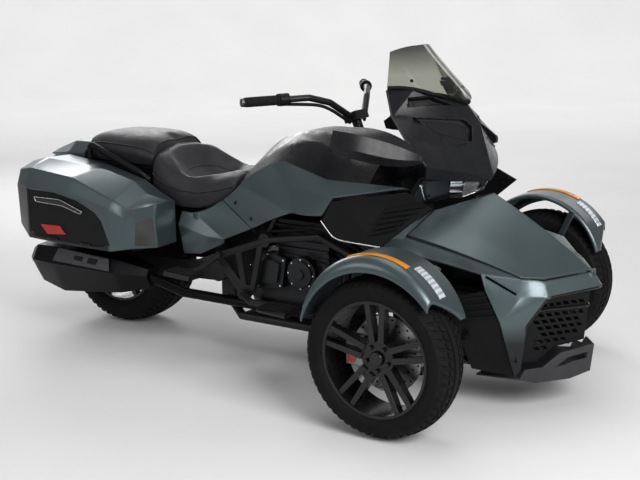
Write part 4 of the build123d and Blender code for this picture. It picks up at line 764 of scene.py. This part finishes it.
# Small fittings on the painted panels and bags
FASTENERS = [(-0.937, 0.2352, 0.640), (-0.834, 0.2692, 0.593)]
PANEL_SEAM = [(-1.020, 0.2205, 0.646), (-0.910, 0.2570, 0.596), (-0.799, 0.2915, 0.545)]
INTAKE_TRIM = [(-0.464, 0.337, 0.638), (-0.428, 0.347, 0.607), (-0.391, 0.355, 0.579), (-0.290, 0.366, 0.578),
               (-0.186, 0.375, 0.578)]
BAG_REFLECTOR = [(-1.832, 0.4296, 0.493), (-1.712, 0.4377, 0.499), (-1.674, 0.4403, 0.466),
                 (-1.790, 0.4324, 0.455)]
BAG_LATCH = [(-1.862, 0.4276, 0.607), (-1.700, 0.4386, 0.612), (-1.565, 0.4477, 0.575),
             (-1.580, 0.4467, 0.565), (-1.690, 0.4392, 0.588), (-1.850, 0.4284, 0.588)]
LATCH_DEPTH = 0.006
BAG_PAD = [(-1.296, 0.4262, 0.556), (-1.240, 0.3908, 0.572), (-1.240, 0.3790, 0.456), (-1.309, 0.4236, 0.460)]
PAD_SUNK = 0.004
for hand, side in HANDS:
    out = Vector((0.3, hand, 0.2)).normalized()
    studs("panel_fasteners_" + side, spots(hand, FASTENERS), black_plastic, "chassis", out,
          radius=0.009, height=0.004, sides=16)
    tube("panel_seam_" + side, spots(hand, PANEL_SEAM), black_plastic, "chassis", 0.0014)
    tube("intake_trim_" + side, spots(hand, INTAKE_TRIM), bright_steel, "chassis", 0.0032)
    door = "saddlebag_door_" + side
    out = Vector((0.068, hand, 0)).normalized()
    slab("bag_reflector_" + side, spots(hand, BAG_REFLECTOR), red_lens, door, out, depth=0.005,
         edge=0.002)
    latch = spots(hand, BAG_LATCH)
    slab("bag_latch_" + side, latch, gloss_black, door, out, LATCH_DEPTH, edge=0.002)
    latch_rim = [p + out * LATCH_DEPTH for p in fine(latch + latch[:1], 4)][:-1]
    tube("bag_latch_rim_" + side, latch_rim, bright_steel, door, 0.0018, cyclic=True)
    facet = Vector((0.54, hand * 0.84, 0.04)).normalized()
    pad = [p - facet * PAD_SUNK for p in spots(hand, BAG_PAD)]
    slab("bag_pad_" + side, pad, insert_rubber, "chassis", facet, depth=0.010, edge=0.003)

# Controls: ribbed grip sleeves, bar-end weights, switch buttons and the conduit along each side of the bar
GRIP_END = (-0.745, 0.412, 1.067)
GRIP_IN = (-0.600, 0.208, 1.073)
GRIP_LENGTH = 0.130
GRIP_R, GRIP_LIP_R, RIB_R, GROOVE_R, FLANGE_R = 0.0175, 0.0192, 0.0189, 0.0179, 0.023
RIBS = 15
RIBS_FROM = 0.008
RIBS_RUN = GRIP_LENGTH - 0.020
RIB_SHAPE = ((0.0, GROOVE_R), (0.2, RIB_R), (0.7, RIB_R), (0.9, GROOVE_R))
WEIGHT = [(0.0, 0.010), (0.002, 0.0155), (0.013, 0.0165), (0.015, 0.013)]
WEIGHT_OUT = 0.020
POD_IN = 0.020
BUTTON_FACE = 0.0235
BUTTON_APART = 0.012
CONDUIT = [(-0.652, 0.275, 1.052), (-0.612, 0.222, 1.049), (-0.574, 0.172, 1.043), (-0.552, 0.128, 1.022),
           (-0.532, 0.086, 0.992), (-0.516, 0.050, 0.966)]
sleeve = [(0.0, GRIP_R), (0.004, GRIP_LIP_R)]
for n in range(RIBS):
    start = RIBS_FROM + RIBS_RUN * n / RIBS
    sleeve += [(start + share * (RIBS_RUN / RIBS), r) for share, r in RIB_SHAPE]
sleeve += [(GRIP_LENGTH - 0.008, GROOVE_R), (GRIP_LENGTH - 0.006, FLANGE_R), (GRIP_LENGTH - 0.001, FLANGE_R)]
for hand, side in HANDS:
    end, inner = spots(hand, [GRIP_END, GRIP_IN])
    way = (inner - end).normalized()
    lathe("grip_sleeve_" + side, end, inner, sleeve, soft_rubber, "handlebar")
    lathe("bar_weight_" + side, end - way * WEIGHT_OUT, inner, WEIGHT, damper_steel, "handlebar")
    pod = end + way * (GRIP_LENGTH + POD_IN)
    back = Vector((-0.8, 0, 0.6)).normalized()
    buttons = [pod + back * BUTTON_FACE, pod + back * BUTTON_FACE + way * BUTTON_APART]
    studs("switch_buttons_" + side, buttons, gloss_black, "handlebar", back, radius=0.0045,
          height=0.003, sides=14)
    tube("bar_conduit_" + side, spots(hand, CONDUIT), soft_rubber, "handlebar", radius=0.0065)

# Moulded sleeves on the grab handles
GRAB_ENDS = [(-1.458, 0.1977, 0.706), (-1.754, 0.1823, 0.806)]
GRAB_R = 0.0135
GRAB_LIP_R = GRAB_R * 0.9
GRAB_END_R = 0.0092
for hand, side in HANDS:
    low_end, high_end = spots(hand, GRAB_ENDS)
    run = (high_end - low_end).length
    cover = [(0.0, GRAB_END_R), (0.004, GRAB_LIP_R), (0.02, GRAB_R), (run - 0.02, GRAB_R),
             (run - 0.004, GRAB_LIP_R), (run, GRAB_END_R)]
    lathe("grab_sleeve_" + side, low_end, high_end, cover, black_plastic, "chassis")

# Instrument display on the rear slope of its pod
DISPLAY = [(-0.304, -0.066, 1.0290), (-0.304, 0.066, 1.0290), (-0.337, 0.056, 1.0030),
           (-0.337, -0.056, 1.0030)]
DIAL_MIDDLE = (-0.3205, 0.028, 1.0162)
DIAL_R = 0.014
DIAL_PROUD = 0.0035
tilt = Vector((-0.62, 0, 0.78)).normalized()
across, down = Vector((0, 1, 0)), Vector((-0.785, 0, -0.62))
slab("display_glass", [at(*p) for p in DISPLAY], display_face, "chassis", tilt, depth=0.003)
for n, (hand, _) in enumerate(HANDS):
    middle = spots(hand, [DIAL_MIDDLE])[0] + tilt * DIAL_PROUD
    angles = [math.radians(150 + 24 * k) for k in range(11)]
    dial = [middle + (across * math.cos(a) + down * math.sin(a)) * DIAL_R for a in angles]
    tube("display_dial_%d" % n, dial, bright_steel, "chassis", radius=0.0008)

# Headlights: chrome reflector cells behind a clear cover, and the bar along the outer edge
LAMP_PLANE = [(0.044, 0.014, 0.796), (-0.104, 0.172, 0.716), (-0.084, 0.240, 0.806)]
REFLECTOR = [(-0.030, 0.146, 0.798), (-0.004, 0.100, 0.794), (-0.034, 0.056, 0.726), (-0.058, 0.100, 0.730)]
LAMP_COVER = [(-0.002, 0.096, 0.792), (0.030, 0.034, 0.784), (0.012, 0.030, 0.744), (-0.032, 0.052, 0.726)]
LAMP_BAR = [(-0.090, 0.252, 0.790), (-0.102, 0.222, 0.756), (-0.108, 0.190, 0.726)]
CELLS = 4
CELL_FIRST, CELL_STEP = 0.14, 0.24
CELL_PROUD = 0.005
for hand, side in HANDS:
    inner, low, outer = spots(hand, LAMP_PLANE)
    front = (inner - low).cross(outer - low).normalized()
    if front.x < 0:
        front = -front
    quad = spots(hand, REFLECTOR)
    slab("reflector_plate_" + side, quad, chrome, "chassis", front, depth=0.004)
    for n in range(CELLS):
        t = CELL_FIRST + CELL_STEP * n
        ends = [quad[0].lerp(quad[3], t) + front * CELL_PROUD, quad[1].lerp(quad[2], t) + front * CELL_PROUD]
        tube("reflector_cell_%s_%d" % (side, n), fine(ends, 2), gloss_black if n % 2 else chrome, "chassis",
             radius=0.0045)
    slab("lamp_cover_" + side, spots(hand, LAMP_COVER), clear_lens, "chassis", front,
         depth=0.006, edge=0.002)
    tube("lamp_bar_" + side, spots(hand, LAMP_BAR), bright_steel, "chassis", radius=0.006)

# Beads laid on the panels: name, panel, material, slot, radius, lift and line
BEADS = (
    # The fairing's edge bead is a real trim, made a lighter grey than the black fairing as a painted
    # highlight along the edge
    ("fairing_edge_", "fairing", chin_grey, "gloss_black", 0.0035, 0.0005,
     [(-0.262, 0.203, 1.116), (-0.218, 0.243, 1.028), (-0.149, 0.273, 0.961), (-0.060, 0.272, 0.866)]),
    ("fairing_slit_", "fairing", black_plastic, "black_plastic", 0.004, -0.002,
     [(-0.055, 0.164, 0.955), (-0.022, 0.151, 0.939), (0.005, 0.125, 0.933), (0.020, 0.092, 0.940)]),
    ("mouth_bead_", "nose_fascia", gloss_black, "gloss_black", 0.004, 0.0,
     [(0.498, 0.012, 0.445), (0.392, 0.203, 0.435), (0.331, 0.244, 0.330), (0.304, 0.232, 0.162)]),
    ("grille_rib_", "grille", gloss_black, "black_plastic", 0.006, 0.002,
     [(0.456, 0.002, 0.372), (0.392, 0.100, 0.372), (0.322, 0.204, 0.376)]))
SCREEN_BOLTS = [(-0.190, 0.150, 1.150), (-0.095, 0.060, 1.112)]
BEAD_POINTS = 5
for hand, side in HANDS:
    for name, panel, material, slot, radius, lift, line in BEADS:
        run = hug(nodes[panel], fine(spots(hand, line), BEAD_POINTS), lift)
        tube(name + side, run, material, "chassis", radius)
    bolts = hug(nodes["windscreen"], spots(hand, SCREEN_BOLTS), 0.0)
    studs("screen_bolts_" + side, bolts, black_plastic, "chassis",
          Vector((0.7, hand * 0.4, 0.6)).normalized(), radius=0.007, height=0.005, sides=18)

# Gasket under the windscreen, seals along the lid and flanges on the luggage tub
SCREEN_FOOT = [(-0.260, 0.207, 1.127), (-0.152, 0.146, 1.116), (-0.080, 0.062, 1.088), (-0.034, 0.0, 1.066)]
GASKET_DROP = Vector((0, 0, 0.006))
LID_SEAL = [(-0.081, 0.175, 0.686), (-0.1155, 0.311, 0.6145), (-0.080, 0.306, 0.605), (0.094, 0.2775, 0.563),
            (0.300, 0.2396, 0.498)]
TUB_FLANGE = [(-0.030, 0.214, 0.417), (0.130, 0.214, 0.417), (0.124, 0.214, 0.437), (-0.024, 0.214, 0.437)]
screen_foot = spots(-1, SCREEN_FOOT)
screen_foot += [Vector((p.x, -p.y, p.z)) for p in screen_foot[-2::-1]]
gasket = [p - GASKET_DROP for p in hug(nodes["windscreen"], fine(screen_foot, BEAD_POINTS), 0.0)]
tube("screen_gasket", gasket, soft_rubber, "chassis", radius=0.0065)
for hand, side in HANDS:
    tube("lid_seal_" + side, fine(spots(hand, LID_SEAL), 4), soft_rubber, "chassis", 0.0035)
    slab("tub_flange_" + side, spots(hand, TUB_FLANGE), black_plastic, "chassis",
         (0, hand, 0), depth=0.004)

# Black inserts on the floors of the fairing's inlets, partly the dark matte inserts there and partly painted
# shade deepening the recesses: name, facing, share of the outline, outline
INLET_FLOOR = 0.0255
INLETS = (
    ("brow_insert_", Vector((0.6, 0.5, 0.6)), 0.86,
     [(-0.184, 0.186, 1.095), (-0.125, 0.116, 1.100), (-0.072, 0.052, 1.052), (-0.172, 0.196, 1.066)]),
    ("cheek_insert_", Vector((0.78, 0.6, 0.14)), 0.9,
     [(-0.140, 0.204, 1.026), (-0.026, 0.056, 1.010), (0.0, 0.036, 0.984), (0.002, 0.046, 0.930),
      (-0.066, 0.164, 0.968)]))
for hand, side in HANDS:
    for name, toward, share, outline in INLETS:
        way = Vector((toward.x, hand * toward.y, toward.z)).normalized()
        corners = [p - way * INLET_FLOOR for p in spots(hand, outline)]
        middle = sum(corners, Vector()) / len(corners)
        inset = [middle.lerp(p, share) for p in corners]
        slab(name + side, inset, black_plastic, "chassis", way, depth=0.002)

# Covers inside the frame behind the engine
COVER_Y = 0.140
COVER_LINE = [(-1.135, 0.505), (-0.865, 0.548), (-0.835, 0.370), (-0.925, 0.275), (-1.100, 0.335)]
for hand, side in HANDS:
    outline = spots(hand, [(x, COVER_Y, z) for x, z in COVER_LINE])
    slab("inner_cover_" + side, outline, black_plastic, "chassis", (0, hand, 0), depth=0.006,
         edge=0.002)


# Engine and running gear: cover bolts, hoses, wiring along the side tubes
# Bolts: name, places, side that they face, radius, height
def bolt_ring(x, y, z, radius, count):
    turns = [math.tau * n / count for n in range(count)]
    return [at(x + radius * math.cos(a), y, z + radius * math.sin(a)) for a in turns]


CLUTCH_Y = -0.214
CLUTCH = [(-0.885, 0.391), (-0.800, 0.446), (-0.724, 0.429), (-0.740, 0.324), (-0.852, 0.308)]
COOLANT_HOSE = [(-0.560, 0.150, 0.590), (-0.470, 0.185, 0.600), (-0.360, 0.215, 0.560),
                (-0.250, 0.210, 0.500), (-0.190, 0.190, 0.440)]
WIRING = [(-0.330, 0.228, 0.500), (-0.532, 0.232, 0.578), (-0.660, 0.234, 0.560), (-0.785, 0.226, 0.540)]
BOLTS = (("cover_bolts", bolt_ring(-0.641, -0.216, 0.384, 0.058, 8), -1, 0.005, 0.005),
         ("clutch_bolts", [at(x, CLUTCH_Y, z) for x, z in CLUTCH], -1, 0.0055, 0.006),
         ("generator_bolts", bolt_ring(-0.690, 0.214, 0.340, 0.070, 7), 1, 0.0055, 0.006))
for name, places, hand, radius, height in BOLTS:
    studs(name, places, bright_steel, "chassis", (0, hand, 0), radius, height)
for hand, side in HANDS:
    tube("coolant_hose_" + side, spots(hand, COOLANT_HOSE), soft_rubber, "chassis",
         radius=0.013)
    tube("wiring_" + side, spots(hand, WIRING), soft_rubber, "chassis", radius=0.006)

# Silencer: heat shield, its slots and the tailpipe ring
SHIELD = [(-1.480, -0.398, 0.322), (-1.500, -0.372, 0.368), (-1.790, -0.371, 0.382), (-1.800, -0.402, 0.330)]
SHIELD_GAP = 0.001
SLOTS = 3
SLOT_FIRST, SLOT_STEP = -1.560, -0.080
SLOT = [(0.0, -0.392, 0.338), (-0.050, -0.392, 0.340), (-0.046, -0.381, 0.362), (0.004, -0.381, 0.360)]
SLOT_PROUD = 0.0045
TAILPIPE = [(-1.992, -0.312, 0.306), (-1.900, -0.312, 0.306)]
TAILPIPE_RING = [(0.0, 0.0225), (0.0, 0.030), (0.018, 0.031), (0.020, 0.0265), (0.004, 0.0225)]
shield_out = Vector((0.0, -0.86, 0.51)).normalized()
shield = [at(*p) + shield_out * SHIELD_GAP for p in SHIELD]
slab("heat_shield", shield, damper_steel, "chassis", shield_out, depth=0.004, edge=0.0015)
for n in range(SLOTS):
    start = SLOT_FIRST + SLOT_STEP * n
    cut = [at(start + x, y, z) + shield_out * SLOT_PROUD for x, y, z in SLOT]
    slab("shield_slot_%d" % n, cut, black_plastic, "chassis", shield_out, depth=0.001,
         edge=0.0003)
lathe("tailpipe_ring", at(*TAILPIPE[0]), at(*TAILPIPE[1]), TAILPIPE_RING, bright_steel, "chassis")

# Footrest rubbers with ribs: rear and front x, inner and outer y, rear and front z
PEGS = (("rider_rubber_", (-0.698, -0.568), (0.338, 0.438), (0.292, 0.292)),
        ("pillion_rubber_", (-1.160, -1.040), (0.346, 0.416), (0.3722, 0.3662)))
PEG_RIBS = 5
PEG_FIRST, PEG_STEP = 0.1, 0.2
RIB_UP = Vector((0, 0, 0.005))
for hand, side in HANDS:
    for name, (x0, x1), (y0, y1), (z0, z1) in PEGS:
        plate = spots(hand, [(x0, y0, z0), (x1, y0, z1), (x1, y1, z1), (x0, y1, z0)])
        slab(name + side, plate, soft_rubber, "chassis", UP, depth=0.004, edge=0.0015)
        for n in range(PEG_RIBS):
            t = PEG_FIRST + PEG_STEP * n
            rib = [plate[0].lerp(plate[1], t), plate[3].lerp(plate[2], t)]
            tube("%s%s_rib_%d" % (name, side, n), [p + RIB_UP for p in fine(rib, 2)], soft_rubber, "chassis",
                 radius=0.003)

# Tail: lamp cells and bag lamps
TAIL_X = -2.076
TAIL_ROWS = (0.694, 0.712)
TAIL_PITCH = 0.0145
TAIL_CELLS_HALF = 6
BAG_LAMP = [(-2.008, 0.215, 0.640), (-2.008, 0.352, 0.640), (-2.008, 0.345, 0.600), (-2.008, 0.215, 0.606)]
tail_cells = [at(TAIL_X, n * TAIL_PITCH, z)
              for n in range(-TAIL_CELLS_HALF, TAIL_CELLS_HALF + 1) for z in TAIL_ROWS]
studs("tail_cells", tail_cells, red_lens, "chassis", (-1, 0, 0), radius=0.0055, height=0.003,
      sides=18)
for hand, side in HANDS:
    slab("bag_lamp_" + side, spots(hand, BAG_LAMP), red_lens, "chassis", (-1, 0, 0), depth=0.007,
         edge=0.002)

for name, obj in nodes.items():
    if name not in BARE:
        soften(obj, FINE_EDGE if name in THIN else EDGE)

# Camera as solved from the photograph, with its focal length in the photograph's pixels
CAMERA_AT = (2.161, -4.240, 1.612)
AZIMUTH = math.radians(33.97)
ELEVATION = math.radians(12.55)
ROLL = math.radians(-0.467)
FOCAL_PIXELS = 1298.67
PHOTO_WIDTH = 640
SENSOR = 36.0
CLIP_END = 100.0


def place_camera():
    data = bpy.data.cameras.new("camera")
    data.sensor_width = SENSOR
    data.lens = FOCAL_PIXELS / PHOTO_WIDTH * SENSOR
    data.clip_end = CLIP_END
    obj = bpy.data.objects.new("camera", data)
    scene.collection.objects.link(obj)
    back = Vector((math.sin(AZIMUTH) * math.cos(ELEVATION), -math.cos(AZIMUTH) * math.cos(ELEVATION),
                   math.sin(ELEVATION)))
    right = (-back).cross(UP).normalized()
    up = right.cross(-back)
    right, up = (right * math.cos(ROLL) + up * math.sin(ROLL), up * math.cos(ROLL) - right * math.sin(ROLL))
    turn = Matrix((right, up, back)).transposed().to_4x4()
    obj.matrix_world = Matrix.Translation(at(*CAMERA_AT)) @ turn
    scene.camera = obj


# Floor and light
FLOOR_HALF = 16.0
WALL_Y = 9.0
WALL_TOP = 12.0
BEND = 3.0
BEND_STEPS = 14
FLOOR_TONE = (0.66, 0.66, 0.655)
FLOOR_DARK = (0.65, 0.65, 0.645)
FLOOR_LIGHT = (0.68, 0.68, 0.675)
SKY = (0.80, 0.81, 0.82)
SKY_STRENGTH = 0.4


def make_floor():
    """Pale floor that bends up into a plain wall behind."""
    turn = [math.pi / 2 * n / BEND_STEPS for n in range(BEND_STEPS + 1)]
    line = [(-FLOOR_HALF, 0.0)] + [(WALL_Y + BEND * math.sin(a), BEND - BEND * math.cos(a)) for a in turn]
    line.append((WALL_Y + BEND, WALL_TOP))
    verts = [(x, y, z) for y, z in line for x in (-2 * FLOOR_HALF, 2 * FLOOR_HALF)]
    faces = [(2 * n, 2 * n + 1, 2 * n + 3, 2 * n + 2) for n in range(len(line) - 1)]
    mesh = bpy.data.meshes.new("floor")
    mesh.from_pydata(verts, [], faces)
    for face in mesh.polygons:
        face.use_smooth = True
    obj = bpy.data.objects.new("floor", mesh)
    scene.collection.objects.link(obj)
    obj.rotation_euler.z = AZIMUTH
    mat, tree, bsdf = shader("floor", FLOOR_TONE, roughness=0.7)
    feed(tree, bsdf, "Base Color", noise(tree, 1.5), [(0.3, FLOOR_DARK), (0.7, FLOOR_LIGHT)])
    mesh.materials.append(mat)


def set_world():
    """Even, soft light from all round."""
    world = bpy.data.worlds.new("studio")
    scene.world = world
    world.use_nodes = True
    back = world.node_tree.nodes["Background"]
    back.inputs["Color"].default_value = (*SKY, 1)
    back.inputs["Strength"].default_value = SKY_STRENGTH


def area_light(name, place, target, size, watts):
    data = bpy.data.lights.new(name, "AREA")
    data.shape = "RECTANGLE"
    data.size, data.size_y = size
    data.energy = watts
    obj = bpy.data.objects.new(name, data)
    scene.collection.objects.link(obj)
    obj.location = place
    obj.rotation_euler = (Vector(target) - Vector(place)).to_track_quat("-Z", "Y").to_euler()


place_camera()
make_floor()
set_world()
away = Matrix.Rotation(AZIMUTH, 3, "Z")
area_light("key", (4.4, -2.2, 3.0), (0.3, 0, 0.4), size=(2.6, 2.2), watts=250)
area_light("top", (0.2, 0.2, 4.8), (0, 0, 0.5), size=(4.0, 2.4), watts=60)
area_light("rim", (-3.4, 2.8, 2.6), (0, 0, 0.7), size=(2.4, 1.6), watts=70)
area_light("fill", (-2.2, -4.4, 2.6), (-0.4, 0, 0.5), size=(2.6, 1.6), watts=45)
area_light("backdrop", away @ Vector((0, 8.0, 5.0)), away @ Vector((0, 9.0, 0)), size=(20.0, 5.0), watts=620)

scene.view_settings.view_transform = "Standard"
